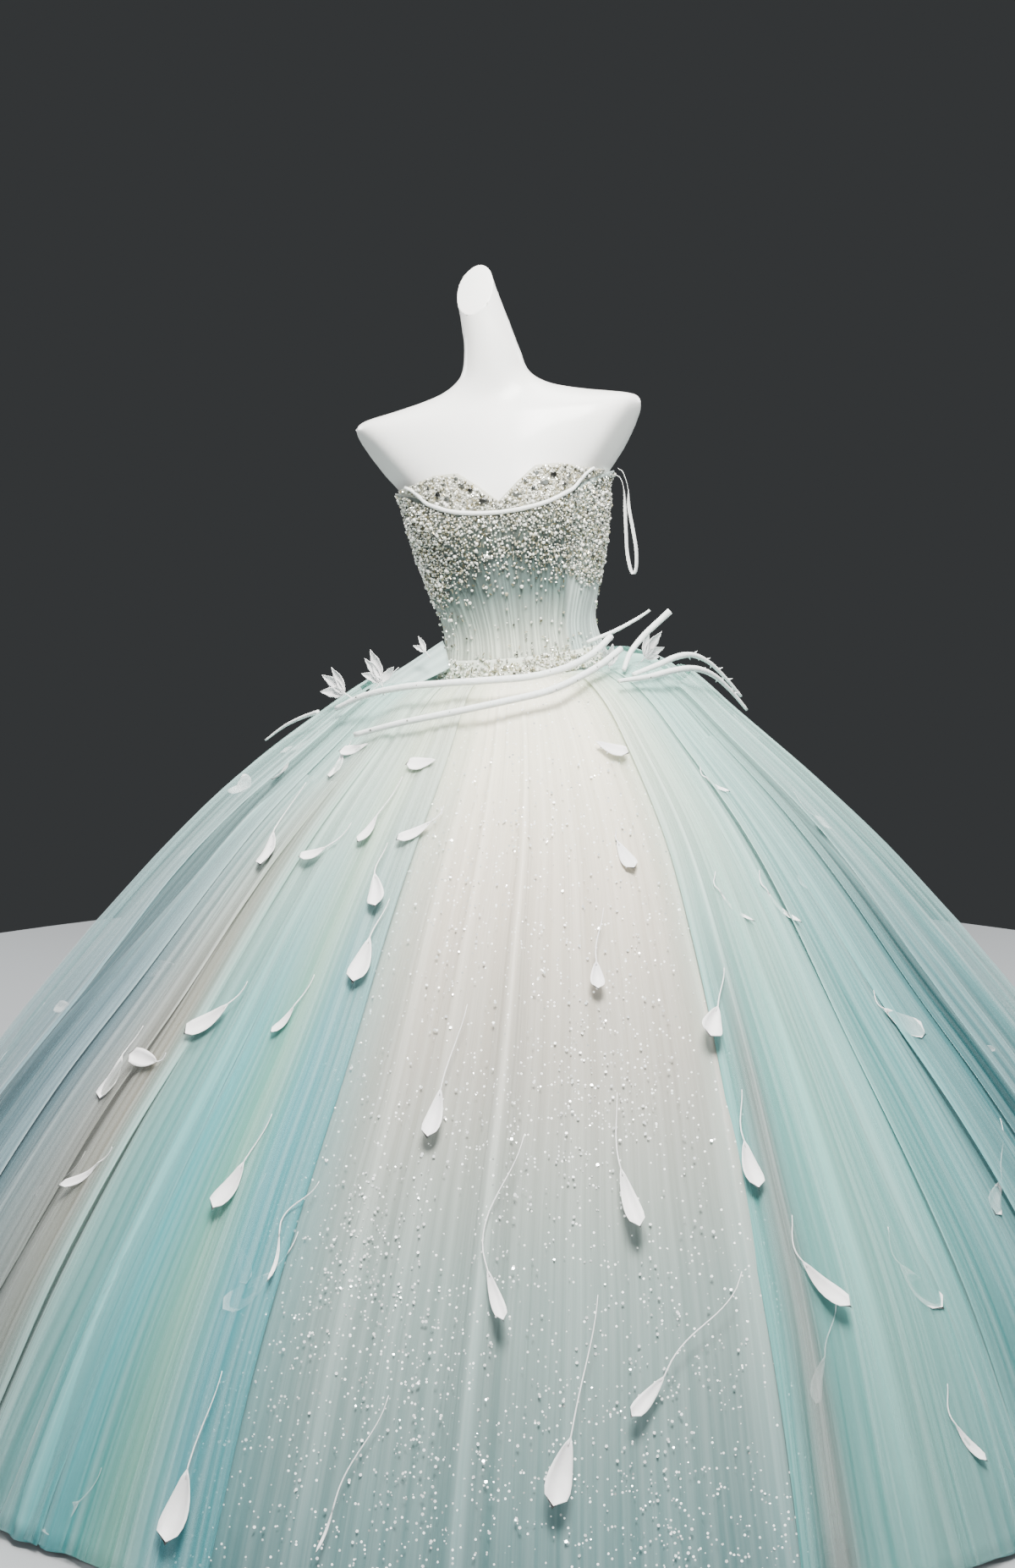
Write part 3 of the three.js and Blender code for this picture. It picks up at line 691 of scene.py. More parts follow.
class Finish:
    """A material under construction: its Principled shader and its painter."""

    def __init__(self, name: str, **sockets: object) -> None:
        """Makes the material.

        Args:
            name: the material's name.
            **sockets: values of the Principled shader's own sockets; _ stands for a space.
        """
        self.material = bpy.data.materials.new(name)
        self.material.use_nodes = True
        self.paint = Painter(self.material.node_tree)
        self.shader = self.material.node_tree.nodes["Principled BSDF"]
        for title, value in sockets.items():
            self.set(title, value)

    def set(self, title: str, value: object) -> None:
        """Sets or links one of the shader's sockets."""
        if isinstance(value, tuple) and len(value) == 3:
            value = (*value, 1.0)
        self.paint.feed(self.shader.inputs[title.replace("_", " ")], value)

    def uv(self) -> bpy.types.NodeSocket:
        """The piece's UV map."""
        return self.paint.node("UVMap", {"uv_map": "UVMap"}).outputs[0]

    def place(self) -> bpy.types.NodeSocket:
        """Object coordinates."""
        return self.paint.node("TexCoord").outputs["Object"]

    def attribute(self, name: str) -> bpy.types.Node:
        """A stored attribute."""
        return self.paint.node("Attribute", {"attribute_name": name, "attribute_type": "GEOMETRY"})

    def bump(self, height: object, strength: float, distance: float) -> None:
        """Feeds a height to the normal."""
        made = self.paint.node("Bump", None, Strength=strength, Distance=distance, Height=height)
        self.set("Normal", made.outputs[0])


@dataclass(frozen=True)
class TulleFinish:
    """Sheer gathered net. Opacity and lightness rise in its streaks and on its fold crests; the lightness on the crests
    is a painted highlight.
    """

    name: str
    alpha: float
    fold_alpha: float = 0.25
    streak_alpha: float = 0.2
    streak_and_crest_highlight: float = 0.35
    count: float = 260.0
    run: float = 1.6
    glitter: float = 0.0
    sheen: float = 0.3
    edge_alpha: float = 0.35

    def build(self) -> bpy.types.Material:
        """Makes the material."""
        made = Finish(self.name, Roughness=0.75, Sheen_Weight=self.sheen, Sheen_Roughness=0.4)
        paint = made.paint
        streaks = STREAKS.use(paint, UV=made.uv(), Count=self.count, Run=self.run)
        crest = made.attribute("crest").outputs["Fac"]
        tint = made.attribute("tint").outputs["Color"]
        # Painted highlight on the fold crests, added to the lighter tone of the net's denser streaks.
        lift = paint.maths("MULTIPLY_ADD", streaks.outputs["Streak"], 0.5,
                           paint.maths("MULTIPLY", crest, 0.6), clamp=True)
        pale = paint.mix(0.75, tint, (0.92, 0.97, 0.96, 1.0))
        colour = paint.mix(paint.maths("MULTIPLY", lift, self.streak_and_crest_highlight), tint, pale)
        alpha = paint.maths("MULTIPLY_ADD", crest, self.fold_alpha, self.alpha)
        alpha = paint.maths("MULTIPLY_ADD", streaks.outputs["Streak"], self.streak_alpha, alpha)
        alpha = paint.maths("MULTIPLY_ADD", streaks.outputs["Soft"], self.streak_alpha, alpha)
        edge = made.attribute("edge").outputs["Fac"]
        alpha = paint.maths("MULTIPLY_ADD", edge, self.edge_alpha, alpha, clamp=True)
        alpha = paint.maths("MULTIPLY", alpha, made.attribute("shown").outputs["Fac"])
        if self.glitter:
            specks = GLITTER.use(paint, Vector=made.place(), Pitch=230.0, Share=self.glitter, Size=0.34)
            tone = paint.ramp(specks.outputs["Tone"], [(0.0, (0.2, 0.22, 0.21)), (0.2, (0.7, 0.72, 0.7)),
                                                       (0.6, (1.0, 1.0, 0.98))])
            colour = paint.mix(specks.outputs["Speck"], colour, tone)
            alpha = paint.maths("MAXIMUM", alpha, specks.outputs["Speck"])
            # Painted glint: the brightest specks glow, though they are no lamps.
            bright = paint.maths("GREATER_THAN", specks.outputs["Tone"], 0.6)
            painted_glint = paint.maths("MULTIPLY", specks.outputs["Speck"], bright)
            made.set("Emission_Color", paint.mix(painted_glint, (0.0, 0.0, 0.0, 1.0), (1.0, 1.0, 0.97, 1.0)))
            made.set("Emission_Strength", 0.7)
        made.set("Base_Color", colour)
        made.set("Alpha", alpha)
        made.bump(streaks.outputs["Streak"], 0.35, 0.002)
        return made.material


@dataclass(frozen=True)
class SatinFinish:
    """Smooth woven cloth with a soft shine, tinted by its stored tint, painted shade included, where it has one."""

    name: str
    colour: Colour
    tinted: bool = False
    roughness: float = 0.45
    pitch: float = 900.0

    def build(self) -> bpy.types.Material:
        """Makes the material."""
        made = Finish(self.name, Roughness=self.roughness, Sheen_Weight=0.4, Sheen_Roughness=0.35)
        paint = made.paint
        place = made.place()
        weave = WEAVE.use(paint, Vector=place, Pitch=self.pitch)
        cloud = paint.node("TexNoise", None, Vector=place, Scale=14.0, Detail=3.0)
        base = made.attribute("tint").outputs["Color"] if self.tinted else (*self.colour, 1.0)
        shade = paint.mix(paint.span(cloud.outputs["Fac"], 0.3, 0.7, 0.0, 0.12), base, (0.55, 0.6, 0.6, 1.0))
        made.set("Base_Color", shade)
        made.bump(weave.outputs["Height"], 0.2, 0.0004)
        return made.material


@dataclass(frozen=True)
class BeadFinish:
    """Glossy beads, each a little different in tone."""

    name: str
    dark: Colour
    light: Colour
    metallic: float
    roughness: float
    coat: float = 0.4

    def build(self) -> bpy.types.Material:
        """Makes the material."""
        made = Finish(self.name, Metallic=self.metallic, Roughness=self.roughness, Coat_Weight=self.coat,
                      Coat_Roughness=0.08)
        tone = made.attribute("copy").outputs["Fac"]
        stops = [(0.0, self.dark), (0.2, self.dark), (0.42, self.light), (0.85, self.light), (1.0, self.dark)]
        made.set("Base_Color", made.paint.ramp(tone, stops))
        return made.material


@dataclass(frozen=True)
class ShellFinish:
    """Plain hard or stiffened surfaces: lacquer, steel and starched cloth."""

    name: str
    colour: Colour
    roughness: float
    metallic: float = 0.0
    coat: float = 0.0
    grain: float = 60.0
    bump: float = 0.05
    shade: Colour = (0.6, 0.6, 0.6)
    uneven: float = 0.15

    def build(self) -> bpy.types.Material:
        """Makes the material."""
        made = Finish(self.name, Metallic=self.metallic, Coat_Weight=self.coat, Coat_Roughness=0.12)
        paint = made.paint
        grain = paint.node("TexNoise", None, Vector=made.place(), Scale=self.grain, Detail=4.0)
        made.set("Base_Color", paint.mix(paint.span(grain.outputs["Fac"], 0.4, 0.75, 0.0, self.uneven),
                                         (*self.colour, 1.0), (*self.shade, 1.0)))
        made.set("Roughness", paint.span(grain.outputs["Fac"], 0.3, 0.7, self.roughness * 0.85,
                                         min(1.0, self.roughness * 1.2)))
        made.bump(grain.outputs["Fac"], self.bump, 0.001)
        return made.material


# ------------------------------------------------------------------ palette


def srgb(code: int) -> Colour:
    """A colour as light, from its usual six-digit code."""
    parts = [((code >> shift) & 255) / 255 for shift in (16, 8, 0)]
    return tuple(p / 12.92 if p <= 0.04045 else ((p + 0.055) / 1.055) ** 2.4 for p in parts)


def colour_table(rows: Sequence[tuple[float, int]]) -> Table:
    """A table of colours along a key."""
    return Table("at red green blue", [(at, *srgb(code)) for at, code in rows])


def colours(table: Table, at: Array) -> Array:
    """Rows of red, green and blue read from a colour table."""
    return np.stack([table.linear(part, at) for part in ("red", "green", "blue")], axis=-1)


# Tulle round the skirt, by azimuth from the front.
TULLE_BANDS = colour_table([
    (-180, 0x5CC4C2), (-150, 0x8FD6CA), (-125, 0x46BABE), (-105, 0x7CC8C2), (-80, 0x4793A0),
    (-62, 0x6A96A6), (-52, 0xA3A29A), (-46, 0xADA896), (-41, 0x74BDB8), (-34, 0x30B2B8), (-29, 0x7FCDB6),
    (-25, 0x1FA6B2), (0, 0x66BEBA), (24, 0x5CC2BE), (34, 0x8CD0C6), (46, 0x4CB6B6),
    (60, 0x1F8E96), (80, 0x35979C), (105, 0x78C8BE), (130, 0x40B4B8), (155, 0x84CCBE), (180, 0x5CC4C2),
])
# Front panel, by row from the waist to the hem.
FRONT_BANDS = colour_table([
    (0, 0xFFFCEA), (3, 0xFBF3DC), (4.5, 0xE6DAC8), (6, 0xBDB8AC),
    (7.5, 0x8BA09B), (9, 0x648A8A), (10, 0x4A7679),
])
# Under-skirt, by azimuth; the dark stops from 22 to 27 degrees are painted shadow in the gap beside the front panel.
LINING_BANDS = colour_table([
    (-180, 0x9FCFCB), (-90, 0x8FBFC2), (-50, 0xB0B4AA), (-30, 0x93CFCC), (-22, 0xB4D2CC), (18, 0xB9CFC9),
    (22, 0x6E6A60), (27, 0x77736A), (30, 0xA2D2CA), (60, 0x6FB4B4), (90, 0x8FC4C4), (180, 0x9FCFCB),
])
# Bodice, by height above the waist seam: pale near the waist and darker above, partly the cloth's grey-green and partly
# painted shade under the beads.
BODICE_TONE_AND_BEAD_SHADE = colour_table([
    (0.0, 0xE2E6D4), (0.06, 0xD6DECF), (0.10, 0xA6B6AC), (0.14, 0x637B76), (0.19, 0x576B67), (0.26, 0x7C857C),
])
# Tones mixed into the bands: the pale upper skirt, partly painted light; the deep hem, partly painted shade; and
# painted shadow in the gap beside the front panel.
CREAM = np.array(srgb(0xFBF7DF))
MINT = np.array(srgb(0xC6EFE3))
DEEP_TEAL = np.array(srgb(0x16737B))
GAP_PAINTED_SHADOW = np.array(srgb(0x4E4A40))


# ------------------------------------------------------------------ the dress form and its stand


@dataclass
class DressForm:
    """Smooth limbless form with flat oval arm cuts and a slanted neck cut, on a pole and base."""

    sides: int = 120
    levels: int = 160
    low: float = -0.140
    high: float = 0.680
    armpit: float = 0.290
    arm_reach: float = 0.160
    arm_slope: float = 0.553
    arm_tilt: float = 0.60
    arm_edge: float = 6.0 * MM
    voxel: float = 6.0 * MM
    roundings: int = 26
    neck_up: float = 0.592
    neck_shift: float = -0.012
    neck_facing: tuple[float, float, float] = (-0.45, -0.68, 0.58)
    rim: float = 1.6 * MM
    merge: float = 0.01 * MM

    def flatten_arms(self, points: Array, up: Array) -> Array:
        """Flattens the ends of the shoulders, with a softly rounded edge round each cut."""
        above = up - self.armpit
        limit = self.arm_reach + np.where(above > 0, self.arm_slope * above, -4 * above)
        limit = limit + self.arm_tilt * np.minimum(points[..., 1], 0.02)
        reach = np.abs(points[..., 0])
        soft = -self.arm_edge * np.logaddexp(-reach / self.arm_edge, -limit / self.arm_edge)
        points[..., 0] = np.sign(points[..., 0]) * np.where(above > -0.02, np.maximum(soft, 0), reach)
        return points

    def soften(self, made: bpy.types.Object) -> None:
        """Closes the form and rounds the edges of its arm cuts evenly."""
        with reshaped(made.data) as shape:
            bmesh.ops.remove_doubles(shape, verts=shape.verts, dist=self.merge)
            bmesh.ops.holes_fill(shape, edges=[e for e in shape.edges if e.is_boundary], sides=0)
            bmesh.ops.recalc_face_normals(shape, faces=shape.faces)
        even = made.modifiers.new("even", "REMESH")
        even.mode, even.voxel_size = "VOXEL", self.voxel
        worn = made.modifiers.new("round", "SMOOTH")
        worn.factor, worn.iterations = 0.5, self.roundings
        bpy.context.view_layer.update()
        ready = bpy.data.meshes.new_from_object(made.evaluated_get(bpy.context.evaluated_depsgraph_get()))
        made.modifiers.clear()
        made.data = ready

    def cap(self, shape: bmesh.types.BMesh) -> None:
        """Closes the neck cut with a face and rounds its rim a little."""
        rims = [e for e in shape.edges if e.is_boundary]
        bmesh.ops.holes_fill(shape, edges=rims, sides=0)
        bmesh.ops.bevel(shape, geom=rims, offset=self.rim, segments=3, affect="EDGES", profile=0.5,
                        material=-1)

    def body(self) -> bpy.types.Object:
        """Builds the form upright, cuts the arms, leans it, and cuts the neck."""

        def place(u: Array, v: Array) -> Array:
            up = self.low + (self.high - self.low) * v
            full = TORSO.point(360 * u, up, 0.0, flat=False, upright=True)
            return TORSO.leaned(self.flatten_arms(full, up))

        made = laid_grid("dress_form", self.sides, self.levels, place)
        self.soften(made)
        middle = TORSO.leaned(np.array([[self.neck_shift, 0, TORSO.height + self.neck_up]]))[0]
        with reshaped(made.data) as shape:
            everything = shape.verts[:] + shape.edges[:] + shape.faces[:]
            bmesh.ops.bisect_plane(shape, geom=everything, dist=self.merge, plane_co=middle,
                                   plane_no=self.neck_facing, clear_outer=True)
            self.cap(shape)
            bmesh.ops.recalc_face_normals(shape, faces=shape.faces)
        made.data.shade_smooth()
        made.data.set_sharp_from_angle(angle=math.radians(40))
        return made

    def build(self) -> None:
        """Builds the form and finishes the stand."""
        lacquer = ShellFinish("white lacquer", srgb(0xF4F3F0), 0.38, coat=0.25, grain=30.0, bump=0.02,
                              shade=srgb(0xDAD9D4), uneven=0.1).build()
        steel = ShellFinish("brushed steel", srgb(0xB9BCBE), 0.32, metallic=1.0, grain=220.0,
                            bump=0.08).build()
        dress(self.body(), lacquer, ["form_body"])
        for node in ("form_pole", "form_base"):
            kept = bpy.data.objects[node]
            kept.data.materials.clear()
            kept.data.materials.append(steel)


# ------------------------------------------------------------------ beads


class Bead(Enum):
    """The kinds of bead, each made once and then repeated."""

    PEARL = "pearl"
    CRYSTAL = "crystal"
    BUGLE = "bugle"
    STONE = "stone"

    def template(self) -> bpy.types.Mesh:
        """One bead of unit radius."""
        mesh = bpy.data.meshes.new("template_" + self.value)
        with reshaped(mesh) as shape:
            if self is Bead.PEARL:
                bmesh.ops.create_uvsphere(shape, u_segments=6, v_segments=4, radius=1.0)
            elif self is Bead.CRYSTAL:
                bmesh.ops.create_icosphere(shape, subdivisions=1, radius=1.0)
            elif self is Bead.BUGLE:
                bmesh.ops.create_cone(shape, cap_ends=True, segments=6, radius1=0.5, radius2=0.5, depth=3.0)
            else:
                bmesh.ops.create_cone(shape, cap_ends=True, segments=8, radius1=1.0, radius2=0.6, depth=0.5)
                bmesh.ops.bevel(shape, geom=shape.edges[:], offset=0.08, segments=1, affect="EDGES",
                                profile=0.5, material=-1)
        return mesh


@dataclass
class BeadTray:
    """Collects places for each kind of bead, then makes one joined piece a kind."""

    seed: int
    places: dict[Bead, list[Matrix]] = field(default_factory=lambda: {kind: [] for kind in Bead})

    def __post_init__(self) -> None:
        """Starts the seeded draws."""
        self.draw = random.Random(self.seed)

    def add(self, kind: Bead, point: Array, outward: Array, size: float, long: Vector | None = None,
            stretch: float = 1.0) -> None:
        """Adds one bead, turned at random about the outward direction.

        Args:
            kind: the kind of bead.
            point: its centre.
            outward: the direction it faces.
            size: its radius.
            long: the direction of its long side, where that isn't random.
            stretch: how much longer it is than wide.
        """
        z_axis = Vector(outward).normalized()
        hint = long or Vector([self.draw.uniform(-1, 1) for _ in range(3)])
        x_axis = hint.cross(z_axis).normalized()
        y_axis = z_axis.cross(x_axis)
        turned = Matrix((x_axis * size * stretch, y_axis * size, z_axis * size)).transposed()
        if kind is Bead.BUGLE:
            turned = Matrix((z_axis * size, y_axis * size, x_axis * size)).transposed()
        made = turned.to_4x4()
        made.translation = Vector(point)
        self.places[kind].append(made)

    def pour(self, stem: str, finishes: dict[Bead, bpy.types.Material]) -> None:
        """Makes the joined pieces."""
        for kind, places in self.places.items():
            if places:
                piece = joined_copies(f"{stem}_{kind.value}", kind.template(), places)
                if kind is not Bead.PEARL:
                    piece.data.shade_flat()
                dress(piece, finishes[kind])


def bead_finishes() -> dict[Bead, bpy.types.Material]:
    """The finish of each kind of bead."""
    return {
        Bead.PEARL: BeadFinish("pearl bead", srgb(0xA39E88), srgb(0xFBFAF2), 0.1, 0.2, 0.6).build(),
        Bead.CRYSTAL: BeadFinish("crystal bead", srgb(0x54544C), srgb(0xF2F2EA), 0.6, 0.14, 0.9).build(),
        Bead.BUGLE: BeadFinish("bugle bead", srgb(0x8A7F5C), srgb(0xE2D9B8), 0.65, 0.2, 0.5).build(),
        Bead.STONE: BeadFinish("smoke stone", srgb(0x2E2E2B), srgb(0x6E706B), 0.5, 0.1, 1.0).build(),
    }


# ------------------------------------------------------------------ bodice


@dataclass
class Bodice:
    """Ruched and beaded bodice: five panels, two cups, piping, waist band, placket and loop."""

    clear: float = 3.2 * MM
    wall: float = 2.0 * MM
    pleat: float = 1.5 * MM
    pleat_pitch: float = 4.3
    panels: tuple[tuple[str, float, float], ...] = (
        ("bodice_front", -37.5, 37.5),
        ("bodice_side_right", 37.5, 97.5),
        ("bodice_back_right", 97.5, 180.0),
        ("bodice_back_left", 180.0, 262.5),
        ("bodice_side_left", 262.5, 322.5),
    )
    edges: Table = field(default_factory=lambda: Table(
        "azimuth piping top",
        [(0, 0.262, 0.276), (15, 0.264, 0.300), (32, 0.270, 0.322), (48, 0.281, 0.322), (65, 0.294, 0.308),
         (80, 0.300, 0.300), (120, 0.288, 0.288), (180, 0.280, 0.280)],
    ))

    def piping_up(self, azimuth: Array) -> Array:
        """Height of the piping line round the body."""
        return self.edges.smooth("piping", folded(np.asarray(azimuth, float)))

    def pleats(self, azimuth: Array, up: Array) -> Array:
        """Shape of the gathered pleats, 0 in their troughs and 1 on their crests."""
        spread = 1 - 0.16 * ease(up, 0.03, 0.24)
        side = signed(azimuth) * spread
        warped = side + 1.6 * np.sin(side * 0.21 + 0.5) + 0.8 * np.sin(side * 0.57 + up * 9)
        wave = 0.5 + 0.5 * np.cos(2 * np.pi * warped / self.pleat_pitch)
        second = 0.5 + 0.5 * np.cos(2 * np.pi * warped / (self.pleat_pitch * 0.43) + 3 * np.sin(side * 0.1))
        return (0.72 * wave ** 1.7 + 0.28 * second) * (0.75 + 0.25 * np.sin(side * 0.33 + 2.0))

    def panel(self, name: str, start: float, end: float, finish: bpy.types.Material) -> None:
        """Builds one panel of the bodice, a little short of its seams."""
        across, down = int((end - start) * 2.2), 44
        trim = math.degrees(SEAM / 2 / 0.12)

        def spot(u: Array, v: Array) -> tuple[Array, Array]:
            azimuth = start + trim + (end - start - 2 * trim) * u
            return azimuth, self.piping_up(azimuth) * v

        def place(u: Array, v: Array) -> Array:
            azimuth, up = spot(u, v)
            level = ease(up, 0.0, 0.02) * (1 - 0.6 * ease(up, 0.19, 0.24))
            return TORSO.point(azimuth, up, self.clear + self.pleat * self.pleats(azimuth, up) * level)

        made = laid_grid(name + "_ruched", across, down, place)
        u, v = grid_coordinates(across, down)
        azimuth, up = spot(u, v)
        crest = self.pleats(azimuth, up)
        tint = colours(BODICE_TONE_AND_BEAD_SHADE, up)
        side = signed(azimuth)
        # Painted shadow: two dark patches on the ruching, under the beads.
        shade = np.exp(-((side + 33) / 14) ** 2 - ((up - 0.165) / 0.035) ** 2)
        shade += 0.8 * np.exp(-((side - 17) / 7) ** 2 - ((up - 0.185) / 0.03) ** 2)
        plain = ease(side, 47, 52) * (1 - ease(side, 95, 99))
        tint = tint * (1 - 0.48 * shade[:, None]) * (1 - plain[:, None]) + np.array(srgb(0xBFD0CA)) * plain[:, None]
        # Painted shade in the pleat troughs and painted light on their crests.
        tint = tint * (0.50 + 0.60 * crest[:, None])
        set_point_colour(made, "tint", tint)
        thicken(made, 1.2 * MM)
        dress(made, finish, [name])

    def cup(self, side: int, finish: bpy.types.Material) -> None:
        """Builds one cup between the piping and the sweetheart edge."""
        across, down = 40, 16

        def place(u: Array, v: Array) -> Array:
            azimuth = 0.2 + 74.6 * u
            low = self.piping_up(azimuth) + SEAM
            high = self.edges.linear("top", azimuth) + 0.002
            up = low + (high - low) * v
            puff = 1.5 * MM * np.sin(np.pi * np.clip(v, 0, 1)) * np.sin(np.pi * u)
            return TORSO.point(side * azimuth, up, self.clear + puff)

        node = "cup_right" if side > 0 else "cup_left"
        made = laid_grid(node + "_satin", across, down, place)
        if side < 0:
            made.data.flip_normals()
        thicken(made, 1.2 * MM)
        dress(made, finish, [node])

    def piping(self, finish: bpy.types.Material) -> None:
        """Builds the round piping over the bust."""
        azimuth = np.linspace(-65, 65, 81)
        up = self.piping_up(azimuth) + 0.016 * ease(np.abs(azimuth), 50, 66)
        route = TORSO.point(azimuth, up, self.clear + self.wall + 3.6 * MM)
        made = tube("piping_cord", [Vector(p) for p in route], 3.4 * MM, (0.7, 1, 1, 1, 1, 1, 0.7), 4)
        dress(made, finish, ["neckline_piping"])

    def band(self, finish: bpy.types.Material) -> None:
        """Builds the strip of net that carries the waist beads."""

        def place(u: Array, v: Array) -> Array:
            return TORSO.point(-75 + 150 * u, 0.013 + 0.028 * v, self.clear + self.wall + 1.2 * MM)

        made = laid_grid("waist_net", 80, 6, place)
        thicken(made, 0.4 * MM)
        dress(made, finish, ["waist_bead_band"])

    def placket(self, finish: bpy.types.Material) -> None:
        """Builds the plain placket down the middle of the back."""

        def place(u: Array, v: Array) -> Array:
            up = self.piping_up(np.full_like(u, 180.0)) * (0.03 + 0.97 * v)
            middle = TORSO.point(180.0, up, self.clear + self.wall + 1.6 * MM)
            middle[..., 0] += (0.5 - u) * 0.010
            return middle

        made = laid_grid("placket_strip", 4, 40, place)
        thicken(made, 1.4 * MM)
        dress(made, finish, ["back_placket"])

    def density(self, azimuth: float, up: float) -> float:
        """How thickly the beads are sewn at a place below the piping."""
        side = float(folded(np.array(azimuth)))
        full_low = 0.205 - 0.062 * min(1.0, (side / 62) ** 2)
        if up > full_low:
            middle = max(0.0, 1 - (side / 46) ** 2)
            return 1.0 - 0.42 * middle * float(1 - ease(np.array(up), 0.222, 0.256))
        if up < 0.06:
            return 0.0
        if float(signed(np.array(azimuth))) > 46 and side < 96 and up < full_low - 0.01:
            return 0.015
        return max(0.035 * float(ease(np.array(up), 0.06, 0.09)), 0.85 * math.exp(-(full_low - up) / 0.026))

    def scatter(self, tray: BeadTray, pitch: float, low: float, high: Callable[[float], float],
                density: Callable[[float, float], float], clear: float) -> None:
        """Sews beads over the bodice on a loose lattice.

        Args:
            tray: where the beads go.
            pitch: distance between lattice places.
            low: lowest height.
            high: highest height at an azimuth.
            density: chance of a bead at an azimuth and height.
            clear: distance of the cloth's surface from the form.
        """
        draw = tray.draw
        level = low
        row = 0
        while level < 0.33:
            around = 2 * math.pi * float(TORSO.radius(np.array(60.0), np.array(level)))
            count = int(around / pitch)
            for step in range(count):
                azimuth = -180 + 360 * (step + 0.5 * (row % 2) + draw.uniform(-0.3, 0.3)) / count
                up = level + draw.uniform(-0.3, 0.3) * pitch
                if up > high(azimuth) or draw.random() > density(azimuth, up):
                    continue
                point = TORSO.point(np.array(azimuth), np.array(up), clear)
                out = TORSO.point(np.array(azimuth), np.array(up), clear + 0.01) - point
                out = out / np.linalg.norm(out)
                pick = draw.random()
                size = draw.uniform(1.2, 2.2) * MM
                if pick < 0.40:
                    tray.add(Bead.PEARL, point + out * size * 0.8, out, size)
                elif pick < 0.76:
                    tray.add(Bead.CRYSTAL, point + out * size * 0.8, out, size * 1.1)
                elif pick < 0.93:
                    tray.add(Bead.BUGLE, point + out * 1.4 * MM, out, 1.6 * MM)
                else:
                    tray.add(Bead.PEARL, point + out * 2.6 * MM, out, draw.uniform(2.4, 3.3) * MM)
            level += pitch * 0.86
            row += 1

    def beads(self) -> None:
        """Sews all the beads: body, cups, stones and waist band."""
        finishes = bead_finishes()
        body = BeadTray(7)
        surface = self.clear + 1.2 * MM + self.pleat
        self.scatter(body, 4.1 * MM, 0.06, lambda a: float(self.piping_up(np.array(a))) - 0.004, self.density, surface)
        body.pour("bodice_beads", finishes)
        cups = BeadTray(11)

        def cup_top(azimuth: float) -> float:
            side = float(folded(np.array(azimuth)))
            return float(self.edges.linear("top", side)) if side < 76 else 0.0

        def cup_density(azimuth: float, up: float) -> float:
            return 0.97 if up > float(self.piping_up(np.array(azimuth))) + 0.004 else 0.0

        self.scatter(cups, 3.9 * MM, 0.262, cup_top, cup_density, self.clear + 2.2 * MM)
        stones = [(-43, 0.296, 5.0, 1.3), (-36, 0.288, 5.0, 1.4), (-11, 0.281, 4.6, 2.4), (14, 0.285, 5.0, 1.5),
                  (34, 0.298, 5.2, 1.7), (41, 0.308, 5.2, 1.3), (30, 0.313, 4.4, 1.2), (-27, 0.306, 4.2, 1.3),
                  (-50, 0.306, 4.0, 1.2), (22, 0.304, 4.2, 1.2), (-20, 0.298, 4.0, 1.2), (50, 0.303, 4.2, 1.2),
                  (-31, 0.316, 3.6, 1.3), (26, 0.292, 3.6, 1.2), (-39, 0.309, 3.6, 1.2), (46, 0.292, 4.0, 1.3)]
        for azimuth, up, size, stretch in stones:
            point = TORSO.point(np.array(azimuth), np.array(up), self.clear + 6.5 * MM)
            out = TORSO.point(np.array(azimuth), np.array(up), self.clear + 16.5 * MM) - point
            cups.add(Bead.STONE, point, out, size * MM, Vector((0, 0, 1)), stretch)
        cups.pour("cup_beads", finishes)
        waist = BeadTray(5)

        def band_density(azimuth: float, up: float) -> float:
            side = float(signed(np.array(azimuth)))
            low, high = 0.008, 0.034 + 0.006 * math.sin(math.radians(side * 3))
            if not (low < up and abs(side) < 76):
                return 0.0
            return 0.88 if up < high else 0.6 * math.exp(-(up - high) / 0.012)

        self.scatter(waist, 4.2 * MM, 0.006, lambda a: 0.085 if abs(signed(np.array(a))) < 76 else 0.0,
                     band_density, self.clear + self.wall + 2.0 * MM)
        waist.pour("waist_beads", finishes)

    def hanger(self, finish: bpy.types.Material) -> None:
        """Builds the ribbon loop sewn in under the right arm."""
        up = float(self.piping_up(np.array(88.0))) - 0.006
        start = Vector(TORSO.point(np.array(88.0), np.array(up), self.clear + self.wall + 3 * MM))
        drops = [(0, 0), (9, -5), (15, -22), (17, -52), (19, -88), (21, -118), (26, -142), (31, -151),
                 (35, -142), (35, -116), (30, -86), (23, -50), (21.5, -22), (14, 2), (6, 9)]
        route = curve_through([start + Vector((out * MM, 0, drop * MM)) for out, drop in drops], 6)
        shape = bmesh.new()
        half, wall = 3.0 * MM, 0.8 * MM
        rings = []
        for here, ahead in zip(route, route[1:] + [route[-1] + (route[-1] - route[-2])]):
            along = (ahead - here).normalized()
            hanging = float(ease(np.array(route[0].z - here.z), 0.01, 0.06))
            flat = Vector((0.80 * hanging, 1 - 0.4 * hanging, 0)).normalized()
            out = along.cross(flat).normalized()
            corners = [flat * half + out * wall / 2, flat * -half + out * wall / 2,
                       flat * -half - out * wall / 2, flat * half - out * wall / 2]
            rings.append([shape.verts.new(here + c) for c in corners])
        loops = []
        for ring in rings:
            loops.append([shape.edges.new((a, b)) for a, b in zip(ring, ring[1:] + ring[:1])])
        for low, high in zip(loops, loops[1:]):
            bmesh.ops.bridge_loops(shape, edges=low + high)
        shape.faces.new(rings[0])
        shape.faces.new(rings[-1][::-1])
        bmesh.ops.recalc_face_normals(shape, faces=shape.faces)
        mesh = bpy.data.meshes.new("hanger_loop_ribbon")
        shape.to_mesh(mesh)
        shape.free()
        made = new_object("hanger_loop_ribbon", mesh)
        dress(made, finish, ["hanger_loop"])

